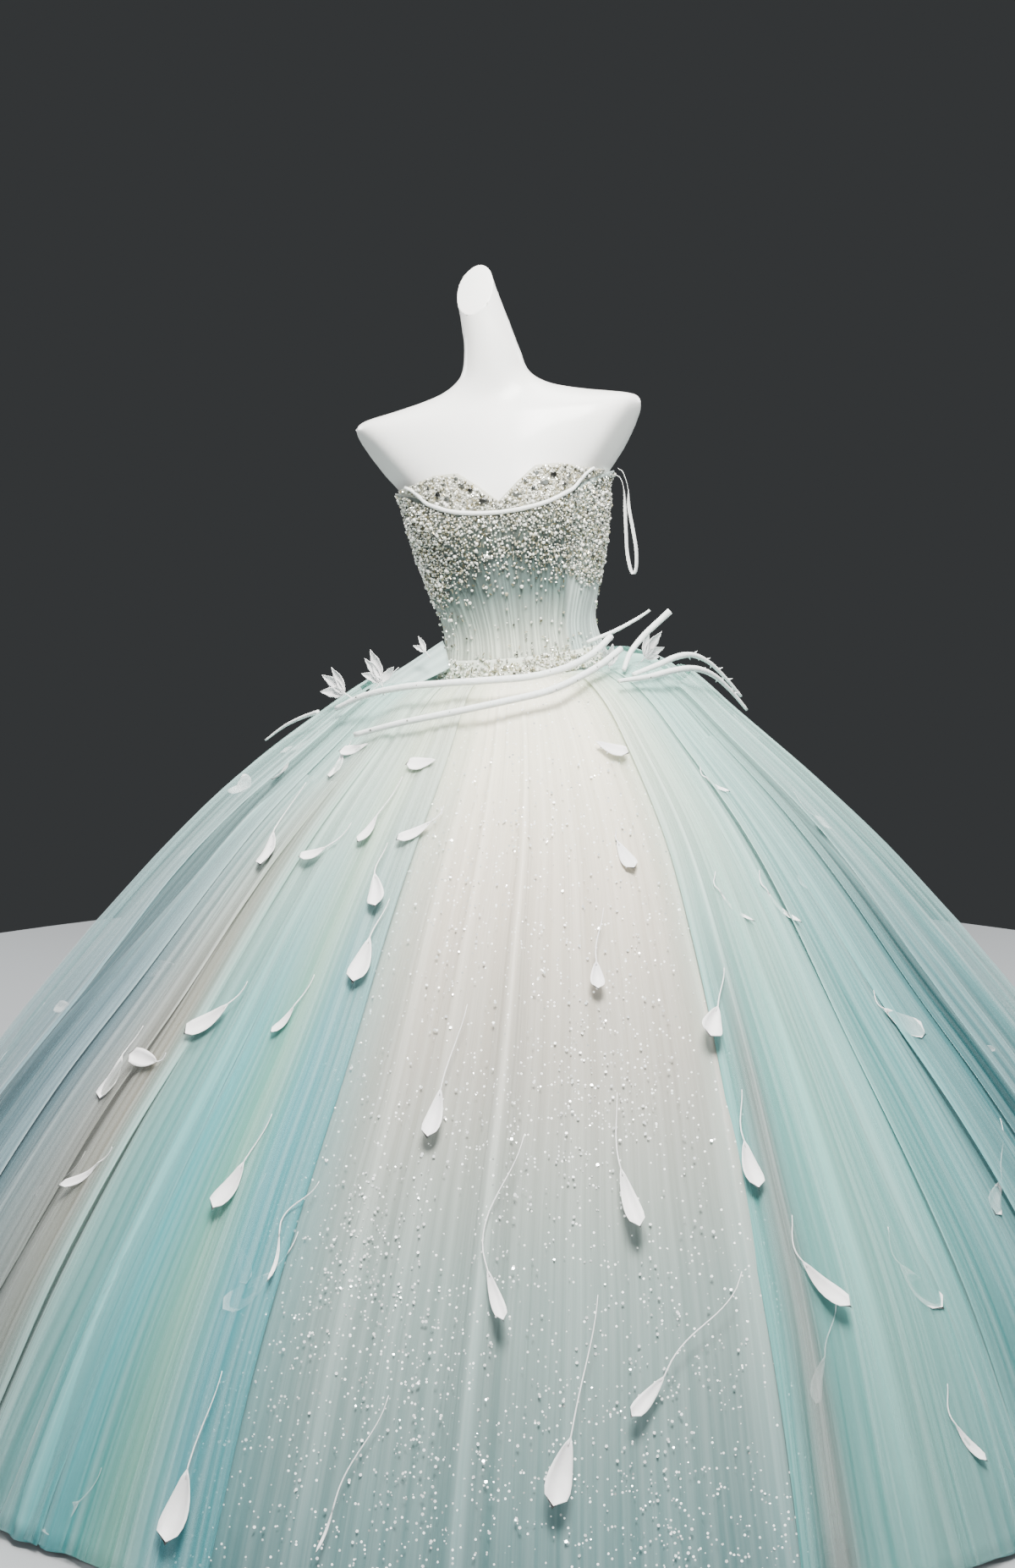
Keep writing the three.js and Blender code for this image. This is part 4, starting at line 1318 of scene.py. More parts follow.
    def build(self) -> None:
        """Builds the whole bodice."""
        net = SatinFinish("ruched bodice net", srgb(0xC9D6CF), tinted=True, roughness=0.6).build()
        cup_cloth = SatinFinish("cup satin", srgb(0xB9B7A8), roughness=0.5).build()
        white = SatinFinish("white satin", srgb(0xF2F3F0), roughness=0.4).build()
        pale = SatinFinish("pale satin", srgb(0xC9DAD3), roughness=0.45).build()
        for name, start, end in self.panels:
            self.panel(name, start, end, net)
        for side in (-1, 1):
            self.cup(side, cup_cloth)
        self.piping(white)
        self.band(SatinFinish("band net", srgb(0xDDE2D4), roughness=0.7).build())
        self.placket(pale)
        self.hanger(white)
        self.beads()


# ------------------------------------------------------------------ skirt


@dataclass(frozen=True)
class ClothLayer:
    """One panel of the skirt: where it lies, how it folds and how sheer it is."""

    name: str
    start: float
    end: float
    finish: TulleFinish | SatinFinish
    slot: str
    nodes: tuple[str, ...] = ()
    top: float = 0.0
    hem: float = 10.0
    lift: tuple[float, float, float] = (0.0, 0.0, 0.0)
    folds: float = 1.0
    fine: float = 1.0
    seed: float = 0.0
    drift: float = 0.0
    spread: float = 1.0
    ruffle: float = 0.0
    bands: str = "tulle"
    fade: tuple[float, float] = (0.0, 0.0)
    columns: float = 1.0
    down: int = 48

    @property
    def round(self) -> bool:
        """Whether it goes all the way round."""
        return self.end - self.start >= 360


@dataclass
class Skirt:
    """The layered skirt: satin under-skirt, net layers, loose drapes and veils."""

    gathers: Table = field(default_factory=lambda: Table(
        "count depth start full fade done",
        [
            (29, 0.0110, 3.0, 7.0, 11.0, 12.0),
            (43, 0.0080, 2.0, 6.0, 11.0, 12.0),
            (67, 0.0048, 1.0, 4.0, 8.0, 11.0),
            (104, 0.0022, 0.6, 2.2, 4.5, 7.5),
            (158, 0.0013, 0.2, 1.0, 2.5, 4.5),
        ],
    ))
    wall: float = 0.5 * MM

    def arc(self, row: Array) -> Array:
        """Length down the profile from the waist to a row."""
        steps = np.linspace(0, 10, 401)
        r, z = SKIRT.profile.smooth("r", steps), SKIRT.profile.smooth("z", steps)
        run = np.concatenate([[0], np.cumsum(np.hypot(np.diff(r), np.diff(z)))])
        return np.interp(row, steps, run)

    def fine_folds(self, azimuth: Array, row: Array, seed: float) -> tuple[Array, Array]:
        """The finer gathers: their depth, and how near each point is to a crest.

        Args:
            azimuth: degrees from the front.
            row: row of the profile.
            seed: shifts the gathers, so that no two layers fold alike.

        Returns:
            Depths, and crests from 0 to 1.
        """
        turn = np.radians(azimuth)
        bent = turn + 0.045 * np.sin(5 * turn + seed) + 0.022 * np.sin(12 * turn + 2.3 * seed)
        bent = bent + 0.0025 * np.sin(0.8 * row + 3 * turn + seed)
        depth, crest, weight = 0.0, 0.0, 0.0
        rows = self.gathers.data
        for index, count in enumerate(rows["count"]):
            wave = np.cos(count * bent + seed * (index + 1.7))
            sharp = np.exp(1.5 * (wave - 1))
            some = 0.55 + 0.45 * np.sin((3 + 2 * index) * turn + seed * 1.3 + index)
            grown = ease(row, rows["start"][index], rows["full"][index])
            gone = 1 - ease(row, rows["fade"][index], rows["done"][index])
            share = grown * gone * some
            depth = depth + rows["depth"][index] * share * (sharp - 0.45)
            crest = crest + share * sharp
            weight = weight + share
        return depth, np.clip(crest / (weight + 0.3), 0, 1) ** 1.5

    def tint(self, layer: ClothLayer, azimuth: Array, row: Array) -> Array:
        """Colour of a layer: its bands, paler at the top, partly painted light, and deeper to the hem, partly painted
        shade, with painted shadow in the gap beside the front panel.
        """
        if layer.bands == "front":
            return colours(FRONT_BANDS, row)
        side = signed(azimuth)
        base = colours(LINING_BANDS if layer.bands == "lining" else TULLE_BANDS, side)
        # Paler towards the waist: partly the net's cream and mint, partly painted light.
        pale = (1 - ease(row, 2.0, 6.8))[:, None]
        light = CREAM + (MINT - CREAM) * ease(np.abs(side + 4), 24, 52)[:, None]
        base = base * (1 - 0.8 * pale) + light * 0.8 * pale
        # Deeper teal towards the hem: partly the net's colour, partly painted shade where the light falls off.
        deep_hem_and_shade = (ease(row, 6.0, 10.3) * (0.35 + 0.5 * ease(np.abs(side), 26, 60)))[:, None]
        base = base * (1 - 0.8 * deep_hem_and_shade) + DEEP_TEAL * 0.8 * deep_hem_and_shade
        # Painted shadow in the gap beside the front panel.
        painted_gap_shadow = (np.exp(-((side - 26.0) / 1.5) ** 2) * ease(row, 4.5, 6.5) * 0.85)[:, None]
        return base * (1 - painted_gap_shadow) + GAP_PAINTED_SHADOW * painted_gap_shadow

    def panel(self, layer: ClothLayer) -> bpy.types.Object:
        """Builds one layer."""
        span = layer.end - layer.start
        across, down = max(8, int(span * layer.columns)), layer.down
        trim = 0.0 if layer.round else math.degrees(SEAM / 2 / 0.5)
        middle = (layer.start + layer.end) / 2

        def spot(u: Array, v: Array) -> tuple[Array, Array]:
            row = layer.top + (layer.hem - layer.top) * (1 - v)
            azimuth = layer.start + trim + (span - 2 * trim) * u
            share = (row - layer.top) / (layer.hem - layer.top)
            width = 1 + (layer.spread - 1) * share
            return middle + (azimuth - middle) * width + layer.drift * share, row

        def place(u: Array, v: Array) -> Array:
            azimuth, row = spot(u, v)
            share = (row - layer.top) / (layer.hem - layer.top)
            lift = np.interp(share, [0, 0.5, 1], layer.lift)
            fine, _ = self.fine_folds(azimuth, row, layer.seed)
            edge = np.minimum(u, 1 - u)
            curl = layer.ruffle * np.sin(share * 17 + layer.seed) * np.exp(-edge / 0.12) * share
            return SKIRT.surface(azimuth, row, lift, layer.folds, fine * layer.fine + curl)

        def uv(u: Array, v: Array) -> tuple[Array, Array]:
            azimuth, row = spot(u, v)
            return azimuth / 360 + 0.137 * layer.seed, self.arc(row)

        made = laid_grid(layer.name + "_cloth", across, down, place, uv)
        u, v = grid_coordinates(across, down)
        azimuth, row = spot(u, v)
        _, crest = self.fine_folds(azimuth, row, layer.seed)
        set_point_value(made, "crest", crest)
        # Painted shade in the fold valleys, fading out towards the waist.
        painted_valley_shade = 0.78 + 0.30 * crest[:, None] * ease(row, 1.0, 5.0)[:, None] + 0.22 * (1 - ease(row, 1.0, 5.0)[:, None])
        set_point_colour(made, "tint", np.clip(self.tint(layer, azimuth, row) * painted_valley_shade, 0, 1))
        edge = np.zeros_like(u) if layer.round else np.exp(-np.minimum(u, 1 - u) * span * 1.6)
        set_point_value(made, "edge", edge)
        begin, finish = layer.fade
        shown = np.ones_like(u)
        if begin:
            shown = shown * ease(u, 0, begin)
        if finish:
            shown = shown * (1 - ease(u, 1 - finish, 1))
        set_point_value(made, "shown", shown)
        if layer.round:
            shape = bmesh.new()
            shape.from_mesh(made.data)
            bmesh.ops.remove_doubles(shape, verts=shape.verts, dist=1e-6)
            shape.to_mesh(made.data)
            shape.free()
        return made

    def declare(self, layer: ClothLayer) -> None:
        """Works out a panel's length down the profile and its radii at the top and the hem, and keeps none of them."""
        length = float(self.arc(np.array(layer.hem)) - self.arc(np.array(layer.top)))
        top, low = (float(SKIRT.profile.smooth("r", row)) for row in (layer.top, layer.hem))

    def layers(self) -> list[ClothLayer]:
        """Every layer, from the inside out."""
        satin = SatinFinish("under-skirt satin", srgb(0xBFD8D4), tinted=True, roughness=0.55)
        inner = TulleFinish("inner net", 0.56, 0.18, 0.14, 0.15, 520, 1.0)
        front = TulleFinish("glitter net", 0.70, 0.14, 0.08, 0.22, 480, 0.9, glitter=0.12, sheen=0.1)
        aqua = TulleFinish("aqua net", 0.46, 0.24, 0.16, 0.28, 620, 0.9, sheen=0.1)
        loose = TulleFinish("drape net", 0.12, 0.26, 0.16, 0.5, 560, 0.9, sheen=0.15)
        veil = TulleFinish("veil net", 0.12, 0.26, 0.12, 0.6, 420, 0.9, edge_alpha=0.5)
        gores = tuple(f"underskirt_gore_{n}" for n in range(1, 9))
        made = [
            ClothLayer("underskirt", -180, 180, satin, "underskirt_satin", gores, hem=9.0,
                       lift=(-10 * MM, -38 * MM, -38 * MM), folds=0.35, fine=0.0, bands="lining", columns=0.5, down=30),
            ClothLayer("inner_net", -180, 180, inner, "tulle_aqua", hem=9.5, lift=(-5 * MM, -19 * MM, -19 * MM),
                       folds=0.8, seed=1.7, columns=1.0, down=44),
            ClothLayer("skirt_front_glitter", -25, 25, front, "tulle_glitter", ("skirt_front_glitter",), seed=0.4,
                       bands="front", columns=2.4),
        ]
        for name, start, end in (("skirt_side_right", 27.5, 100), ("skirt_back_right", 100, 180),
                                 ("skirt_back_left", 180, 260), ("skirt_side_left", 260, 334)):
            made.append(ClothLayer(name, start, end, aqua, "tulle_aqua", (name,), seed=2.9, columns=1.8))
        for name, start, end, seed in (("drape_left", -80, -35, 4.1), ("drape_right", 35, 75, 5.3),
                                       ("drape_back_left", 205, 245, 6.6), ("drape_back_right", 115, 155, 7.2)):
            made.append(ClothLayer(name, start, end, loose, "tulle_drape", (name,), top=1.0,
                                   lift=(8 * MM, 9 * MM, 9 * MM), seed=seed, ruffle=4 * MM, columns=1.8))
        for name, start, end, seed in (("veil_left", -115, -65, 8.4), ("veil_right", 60, 110, 9.1)):
            made.append(ClothLayer(name, start, end, veil, "tulle_veil", (name,), top=2.0,
                                   lift=(18 * MM, 44 * MM, 28 * MM), folds=1.2, seed=seed, ruffle=9 * MM, columns=1.8))
        for name, start, end, drift, fade, seed in (("overlap_left", -38, -8, -8, (0.3, 0.7), 3.3),
                                                    ("overlap_right", 10, 38, 14, (0.7, 0.3), 4.7)):
            made.append(ClothLayer(name, start, end, aqua, "tulle_aqua", top=0.5, lift=(4 * MM, 6 * MM, 6 * MM),
                                   seed=seed, drift=drift, fade=fade, columns=2.0))
        made += self.streamers(loose)
        return made

    def waist_wing(self, finish: bpy.types.Material) -> None:
        """Builds the sheer gusset that rises from the skirt to the bodice's left side."""

        def place(u: Array, v: Array) -> Array:
            low = SKIRT.surface(-104 + 50 * u, 1.0 + 0.9 * np.sin(np.pi * u), 7 * MM)
            high = TORSO.point(-100 + 38 * u, 0.030 + 0.038 * np.sin(np.pi * u), 9 * MM)
            share = v ** 1.5
            return low * (1 - share[:, None]) + high * share[:, None]

        made = laid_grid("waist_wing", 24, 18, place)
        size = len(made.data.vertices)
        u, _ = grid_coordinates(24, 18)
        # Fold crests across the wing, which the net makes more opaque and lightens with a painted highlight.
        set_point_value(made, "crest", 0.5 + 0.5 * np.sin(u * 40))
        set_point_value(made, "edge", np.zeros(size))
        set_point_value(made, "shown", np.ones(size))
        set_point_colour(made, "tint", np.tile(np.array(srgb(0xC3DCD8)), (size, 1)))
        thicken(made, self.wall, 0.0)
        dress(made, finish)

    def streamers(self, finish: TulleFinish) -> list[ClothLayer]:
        """The narrow loose strips of net that overlap round the skirt."""
        # start, end, top row, hem row, lift, drift, spread, seed
        rows = [
            (-34, -20, 1, 10, 12, -3, 1.3, 1.1), (-52, -40, 1, 10, 15, -6, 1.5, 2.2), (-72, -60, 1.4, 10, 14, -4, 1.6, 3.4),
            (-97, -84, 1.2, 10, 14, 5, 1.5, 4.2), (-64, -46, 3.5, 10, 19, -9, 1.2, 5.6), (22, 34, 1, 10, 12, 4, 1.5, 6.1),
            (40, 52, 1, 10, 15, 5, 1.5, 7.7), (58, 70, 1.3, 10, 14, 4, 1.6, 8.3), (80, 94, 1.3, 10, 14, -3, 1.5, 9.9),
            (48, 62, 3.0, 10, 19, 8, 1.2, 10.4), (118, 131, 1, 10, 13, 4, 1.5, 11.5), (150, 164, 1, 10, 13, -5, 1.5, 12.1),
            (176, 190, 1, 10, 14, 3, 1.5, 13.3), (208, 222, 1, 10, 14, 4, 1.5, 14.8), (236, 249, 1, 10, 13, -4, 1.5, 15.2),
        ]
        return [
            ClothLayer(f"streamer_{index + 1:02d}", start, end, finish, "tulle_drape", top=top, hem=hem,
                       lift=(0.6 * lift * MM, lift * MM, lift * MM), seed=seed, drift=drift, spread=spread,
                       ruffle=5 * MM, columns=2.2, down=48)
            for index, (start, end, top, hem, lift, drift, spread, seed) in enumerate(rows)
        ]

    def sequins(self) -> None:
        """Sews the larger loose sequins on the front panel, thicker in a few drifts."""
        draw = random.Random(23)
        shape = bmesh.new()
        bmesh.ops.create_cone(shape, cap_ends=True, segments=5, radius1=1.0, radius2=1.0, depth=0.25)
        template = bpy.data.meshes.new("template_sequin")
        shape.to_mesh(template)
        shape.free()
        drifts = [(-14, 7.4, 5, 0.7, 130), (9, 6.2, 6, 0.8, 70), (-6, 8.6, 8, 0.6, 90), (13, 8.4, 4, 0.9, 60)]
        spots = [(draw.uniform(-24, 24), 10 * math.sqrt(draw.uniform(0.09, 0.96))) for _ in range(1500)]
        for azimuth, row, wide, tall, count in drifts:
            spots += [(azimuth + draw.gauss(0, wide / 2), row + draw.gauss(0, tall / 2)) for _ in range(count)]
        places = []
        for azimuth, row in spots:
            if not (abs(azimuth) < 24.5 and 2.2 < row < 9.95):
                continue
            z = float(SKIRT.profile.smooth("z", row))
            turned = azimuth + float(SKIRT.swing(np.array(azimuth), np.array(row)))
            frame_here = SKIRT.place(turned, z, 3.5 * MM)
            tilt = Matrix.Rotation(draw.uniform(-0.5, 0.5), 4, "X") @ Matrix.Rotation(draw.uniform(-0.5, 0.5), 4, "Y")
            places.append(frame_here @ tilt @ Matrix.Scale(draw.choice((0.9, 1.1, 1.1, 1.5, 2.1)) * MM, 4))
        finish = BeadFinish("sequin", srgb(0xE8ECEA), srgb(0xFFFFFF), 0.35, 0.2, 0.6).build()
        # Painted glint: the sequins glow a little, though they are no lamps.
        finish.node_tree.nodes["Principled BSDF"].inputs["Emission Color"].default_value = (1, 1, 0.97, 1)
        finish.node_tree.nodes["Principled BSDF"].inputs["Emission Strength"].default_value = 0.35
        made = joined_copies("front_sequins", template, places)
        made.data.shade_flat()
        dress(made, finish)

    def build(self) -> None:
        """Builds every layer and the sequins."""
        finishes: dict[str, bpy.types.Material] = {}
        for layer in self.layers():
            if layer.finish.name not in finishes:
                finishes[layer.finish.name] = layer.finish.build()
            made = self.panel(layer)
            self.declare(layer)
            thicken(made, self.wall, 0.0)
            dress(made, finishes[layer.finish.name], layer.nodes)
        self.waist_wing(finishes["aqua net"])
        self.sequins()


# ------------------------------------------------------------------ twigs, leaves and petals


@dataclass(frozen=True)
class Twig:
    """One cloth-wound twig: its half thickness and its route as (azimuth, height, radius) stops."""

    name: str
    thick: float
    stops: tuple[tuple[float, float, float], ...]
    taper: tuple[float, ...] = (0.8, 1.0, 1.06, 1.0, 0.94)
    dots: int = 0
    thorns: int = 0

    def route(self) -> list[Vector]:
        """The points that the twig follows."""
        stops = [Vector(polar(np.array(a), np.array(r), np.array(z))) for a, z, r in self.stops]
        return curve_through(stops, 8)


@dataclass(frozen=True)
class LeafSpray:
    """A spray of pointed lobes that grow from one stalk."""

    name: str
    azimuth: float
    z: float
    reach: float
    turn: float
    length: float
    lobes: tuple[tuple[float, float], ...] = ((-40, 0.78), (0, 1.0), (38, 0.8))


@dataclass
class Ornament:
    """Everything that grows over the gown: twigs, leaf sprays and scattered petals."""

    twigs: tuple[Twig, ...] = (
        Twig("twig_low", 0.006, ((-50, 0.921, 0.325), (-36, 0.945, 0.303), (-20, 0.965, 0.284), (-5, 0.981, 0.268),
             (7, 0.992, 0.254), (18, 1.006, 0.236), (31, 1.022, 0.216), (44, 1.040, 0.204)), dots=9),
        Twig("twig_high", 0.006, ((-66, 0.947, 0.310), (-55, 0.973, 0.288), (-42, 0.990, 0.268), (-28, 0.999, 0.250),
             (-13, 1.005, 0.238), (2, 1.010, 0.228), (16, 1.020, 0.214), (30, 1.036, 0.198), (42, 1.058, 0.190)),
             dots=5),
        Twig("twig_fork", 0.005, ((43, 1.010, 0.214), (52, 1.032, 0.200), (60, 1.056, 0.207), (66, 1.077, 0.223),
             (68, 1.090, 0.235)),
             (0.8, 1.0, 1.15, 1.2)),
        Twig("twig_fork_thin", 0.0028, ((38, 1.046, 0.150), (51, 1.063, 0.174), (60, 1.080, 0.195), (63, 1.092, 0.210)),
             (1.3, 1.2, 1.0, 0.8)),
        Twig("twig_hip_thorny", 0.005, ((42, 1.006, 0.238), (56, 1.015, 0.240), (68, 1.021, 0.246),
             (78, 1.019, 0.262), (85, 1.003, 0.286), (90, 0.976, 0.312), (94, 0.944, 0.340)),
             (0.8, 1.1, 1.1, 0.8, 0.6, 0.5), thorns=9),
        Twig("twig_hip_low", 0.005, ((34, 1.000, 0.244), (46, 1.003, 0.254), (57, 1.007, 0.262), (68, 1.005, 0.274),
             (77, 0.990, 0.294), (84, 0.960, 0.320), (88, 0.928, 0.345)), (0.7, 1.1, 1.1, 0.8, 0.5), dots=3, thorns=4),
        Twig("twig_left_tail", 0.0035, ((-70, 0.940, 0.332), (-76, 0.926, 0.352), (-81, 0.908, 0.376),
             (-84, 0.884, 0.404)), (1.0, 0.9, 0.7, 0.45)),
    )
    leaves: tuple[LeafSpray, ...] = (
        LeafSpray("leaf_left_high", -65, 0.984, 0.240, -16, 0.052, ((-58, 0.72), (-4, 1.0), (-24, 0.86), (62, 0.7))),
        LeafSpray("leaf_left_low", -73, 0.964, 0.287, -62, 0.050, ((-30, 0.95), (2, 1.0), (30, 0.9))),
        LeafSpray("leaf_waist_left", -60, 1.028, 0.174, -35, 0.026, ((-35, 0.9), (8, 1.0))),
        LeafSpray("leaf_right", 68, 1.018, 0.196, 52, 0.048, ((-44, 0.8), (-14, 1.0), (18, 0.8), (40, 0.6))),
        LeafSpray("leaf_right_small", 45, 1.012, 0.178, 8, 0.034, ((-30, 0.8), (0, 1.0), (34, 0.7))),
    )
    # azimuth, height, turn, length, width share, cup, tip curl, stem length, stem bend, lift
    petals: tuple[tuple[float, ...], ...] = (
        (-74, 0.807, -80, 0.064, 0.60, 0.9, 0.2, 0.00, 0.0, 0.020), (-74, 0.856, 49, 0.055, 0.32, 0.5, 0.2, 0.03, 0.4, 0.012),
        (-54, 0.890, 25, 0.049, 0.36, 0.5, 0.1, 0.02, 0.3, 0.012), (-45, 0.902, -75, 0.050, 0.40, 0.4, 0.1, 0.00, 0.0, 0.011),
        (-22, 0.892, -75, 0.038, 0.60, 0.4, 0.1, 0.00, 0.0, 0.010), (-54, 0.781, 32, 0.058, 0.46, 0.6, 0.2, 0.09, 0.1, 0.016),
        (-37, 0.775, -46, 0.035, 0.44, 0.5, 0.6, 0.05, 0.3, 0.014), (-30, 0.820, -11, 0.043, 0.36, 0.5, 0.1, 0.07, 0.2, 0.014),
        (-18, 0.819, -46, 0.049, 0.34, 0.5, 0.2, 0.03, 0.3, 0.012), (-25, 0.753, 24, 0.051, 0.46, 0.6, 0.3, 0.05, 0.3, 0.016),
        (-22, 0.682, -2, 0.060, 0.46, 0.6, 0.1, 0.06, 0.3, 0.016), (-58, 0.606, -62, 0.060, 0.46, 0.4, 0.1, 0.00, 0.0, 0.002),
        (-73, 0.491, -70, 0.052, 0.40, 0.6, 0.3, 0.04, 0.5, 0.018), (-39, 0.583, -34, 0.063, 0.40, 0.7, 0.3, 0.04, 0.3, 0.016),
        (-30, 0.599, -22, 0.041, 0.30, 0.4, 0.3, 0.05, 0.3, 0.012), (-54, 0.495, 16, 0.062, 0.50, 0.6, 0.1, 0.05, 0.3, 0.016),
        (-45, 0.502, -88, 0.060, 0.42, 0.6, 0.4, 0.02, 0.4, 0.016), (-52, 0.355, -52, 0.059, 0.36, 0.4, 0.2, 0.05, 0.3, 0.003),
        (-45, 0.385, -46, 0.062, 0.24, 0.5, 0.5, 0.03, 0.5, 0.014), (-28, 0.431, -14, 0.062, 0.44, 0.7, 0.3, 0.07, 0.3, 0.016),
        (-26, 0.351, 36, 0.050, 0.40, 0.4, 0.2, 0.10, 0.4, 0.002), (-22, 0.331, -41, 0.066, 0.42, 0.4, 0.2, 0.06, 0.3, 0.002),
        (-24, 0.128, -1, 0.076, 0.46, 0.7, 0.2, 0.12, 0.2, 0.018), (-33, 0.063, -42, 0.057, 0.46, 0.4, 0.1, 0.05, 0.3, 0.002),
        (-9, 0.528, -4, 0.060, 0.38, 0.7, 0.3, 0.12, 0.2, 0.016), (-3, 0.352, 22, 0.059, 0.28, 0.6, 0.6, 0.18, 0.5, 0.016),
        (3.6, 0.196, -15, 0.072, 0.44, 0.7, 0.2, 0.17, 0.2, 0.018), (10, 0.670, 0, 0.036, 0.52, 0.7, 0.3, 0.08, 0.3, 0.014),
        (9.5, 0.453, 14, 0.073, 0.30, 0.8, 0.8, 0.10, 0.1, 0.018), (11, 0.249, -42, 0.055, 0.34, 0.6, 0.5, 0.16, 0.9, 0.016),
        (18, 0.804, 18, 0.044, 0.46, 0.3, 0.2, 0.02, 0.3, 0.003), (21, 0.915, 53, 0.044, 0.44, 0.4, 0.1, 0.00, 0.0, 0.010),
        (24, 0.602, -30, 0.049, 0.60, 0.8, 1.0, 0.06, 0.4, 0.018), (22, 0.462, 5, 0.058, 0.42, 0.7, 0.3, 0.07, 0.3, 0.016),
        (24, 0.337, 39, 0.070, 0.34, 0.7, 0.5, 0.06, 0.3, 0.018), (34, 0.313, 31, 0.067, 0.44, 0.5, 0.2, 0.05, 0.3, 0.004),
        (50, 0.560, 49, 0.070, 0.48, 0.6, 0.1, 0.03, 0.4, 0.018), (69, 0.777, 65, 0.050, 0.52, 0.7, 0.2, 0.05, 0.3, 0.022),
        (66, 0.471, 67, 0.050, 0.24, 0.5, 0.4, 0.03, 0.5, 0.014), (33, 0.146, 29, 0.051, 0.24, 0.5, 0.3, 0.05, 0.4, 0.012),
        (24, 0.245, -28, 0.056, 0.30, 0.4, 0.3, 0.07, 0.6, 0.003), (52, 0.348, -58, 0.060, 0.40, 0.5, 0.4, 0.10, 0.8, 0.012),
        (32, 0.733, 36, 0.058, 0.10, 0.3, 0.4, 0.03, 0.6, 0.010), (41, 0.723, 26, 0.060, 0.14, 0.3, 0.3, 0.03, 0.4, 0.010),
        (52, 0.734, -17, 0.029, 0.34, 0.4, 0.2, 0.02, 0.3, 0.010), (44, 0.856, 37, 0.035, 0.20, 0.4, 0.3, 0.02, 0.4, 0.010),
        (-13, 0.120, -12, 0.050, 0.07, 0.3, 0.3, 0.14, 0.5, 0.012), (-22, 0.372, 8, 0.060, 0.09, 0.3, 0.6, 0.08, 0.9, 0.012),
    )
    behind: int = 44
    petal_scale: float = 1.18
    seed: int = 41

    def wind_twig(self, twig: Twig) -> bpy.types.Object:
        """Builds one twig with its thorns."""
        route = twig.route()
        parts = [tube("core", route, twig.thick * 0.86, twig.taper, 5)]
        draw = random.Random(len(twig.name) * 7)
        for index in range(twig.thorns):
            at = int(len(route) * (0.45 + 0.52 * index / twig.thorns))
            here, along = route[at], (route[min(at + 1, len(route) - 1)] - route[at - 1]).normalized()
            side = along.cross(Vector((0, 1, 0))).normalized() * (1 if index % 2 else -1)
            tip = here + (side + along * draw.uniform(0.2, 0.9) + Vector((0, draw.uniform(-0.4, 0.4), 0))) * \
                draw.uniform(0.004, 0.009)
            parts.append(tube("thorn", [here, here.lerp(tip, 0.5), tip], twig.thick * 0.42, (1.0, 0.6, 0.12), 2))
        return join_into(twig.name + "_wound", parts)

    def dots(self, finish: bpy.types.Material) -> None:
        """Sews the small dark stones along the twigs."""
        tray = BeadTray(17)
        for twig in self.twigs:
            route = twig.route()
            for index in range(twig.dots):
                at = int((index + 0.5) / twig.dots * (len(route) - 1))
                along = (route[at + 1] - route[at]).normalized()
                out = Vector((route[at].x, route[at].y, 0)).normalized()
                out = (out - along * out.dot(along) + Vector((0, 0, tray.draw.uniform(-0.5, 0.7)))).normalized()
                tray.add(Bead.STONE, np.array(route[at] + out * twig.thick * 0.82), np.array(out),
                         tray.draw.uniform(1.1, 1.9) * MM)
        tray.pour("twig_dots", {kind: finish for kind in Bead})

    def blade(self, name: str, length: float, width: float, cup: float, curl: float, pointed: bool,
              across: int = 8, down: int = 12) -> bpy.types.Object:
        """One cupped blade along +Y from the origin, its outer side facing +Z.

        Args:
            name: the piece's name.
            length: from the stem end to the tip.
            width: widest part, as a share of the length.
            cup: how deeply it is cupped.
            curl: how far the tip curls up.
            pointed: a leaf lobe with a point and waved sides, rather than a round petal.
            across: faces across.
            down: faces along.
        """

        def place(u: Array, v: Array) -> Array:
            side = 2 * u - 1
            if pointed:
                half = np.sin(np.pi * np.clip(v, 0, 1) ** 0.85) ** 0.75 * (1 + 0.10 * np.sin(v * 21))
                half = half + 0.10 * (1 - v)
            else:
                half = np.sqrt(np.clip(v, 0, 1) ** 1.5 * (1 - v ** 3.5)) * 1.35 + 0.03 * (1 - v)
            x = side * half * width * length / 2
            y = length * v * (1 - 0.05 * side * side * v)
            rise = cup * 0.35 * width * length * half * side * side
            bend = curl * 0.22 * length * v ** 3 - 0.10 * length * np.sin(np.pi * v)
            ridge = 0.015 * length * np.cos(3 * np.pi * side) * half * np.sin(np.pi * v)
            return np.stack([x, y, rise + bend + ridge], axis=-1)

        return laid_grid(name, across, down, place)

    def petal(self, row: Sequence[float], hidden: bool = False) -> bpy.types.Object:
        """One petal with its stem, set on the skirt."""
        azimuth, z, turn, length, width, cup, curl, stem, bend, lift = row
        length *= self.petal_scale
        made = self.blade("petal", length, width, cup, curl, pointed=False, across=5, down=8)
        shape = bmesh.new()
        shape.from_mesh(made.data)
        bmesh.ops.remove_doubles(shape, verts=shape.verts, dist=2e-5)
        shape.to_mesh(made.data)
        shape.free()
        parts = [made]
        if stem:
            stops = [Vector((0, 0.12 * length, -0.03 * length)), Vector((0, 0, 0))]
            for step in range(1, 9):
                t = step / 8
                angle = math.radians(turn) * (1 - (1 - t) ** 2) + bend * 0.9 * math.sin(math.pi * (t - 0.15))
                ahead = Vector((-math.sin(angle), -math.cos(angle), 0)) * stem / 8
                stops.append(stops[-1] + ahead + Vector((0, 0, -0.001 * math.cos(math.pi * t))))
            parts.append(tube("stem", curve_through(stops[::-1], 2), 0.7 * MM, (0.45, 0.7, 0.9, 1.0, 1.0), 1))
        joined = join_into("petal", parts)
        joined.data.transform(SKIRT.place(azimuth, z, lift + 0.004, turn))
        return joined

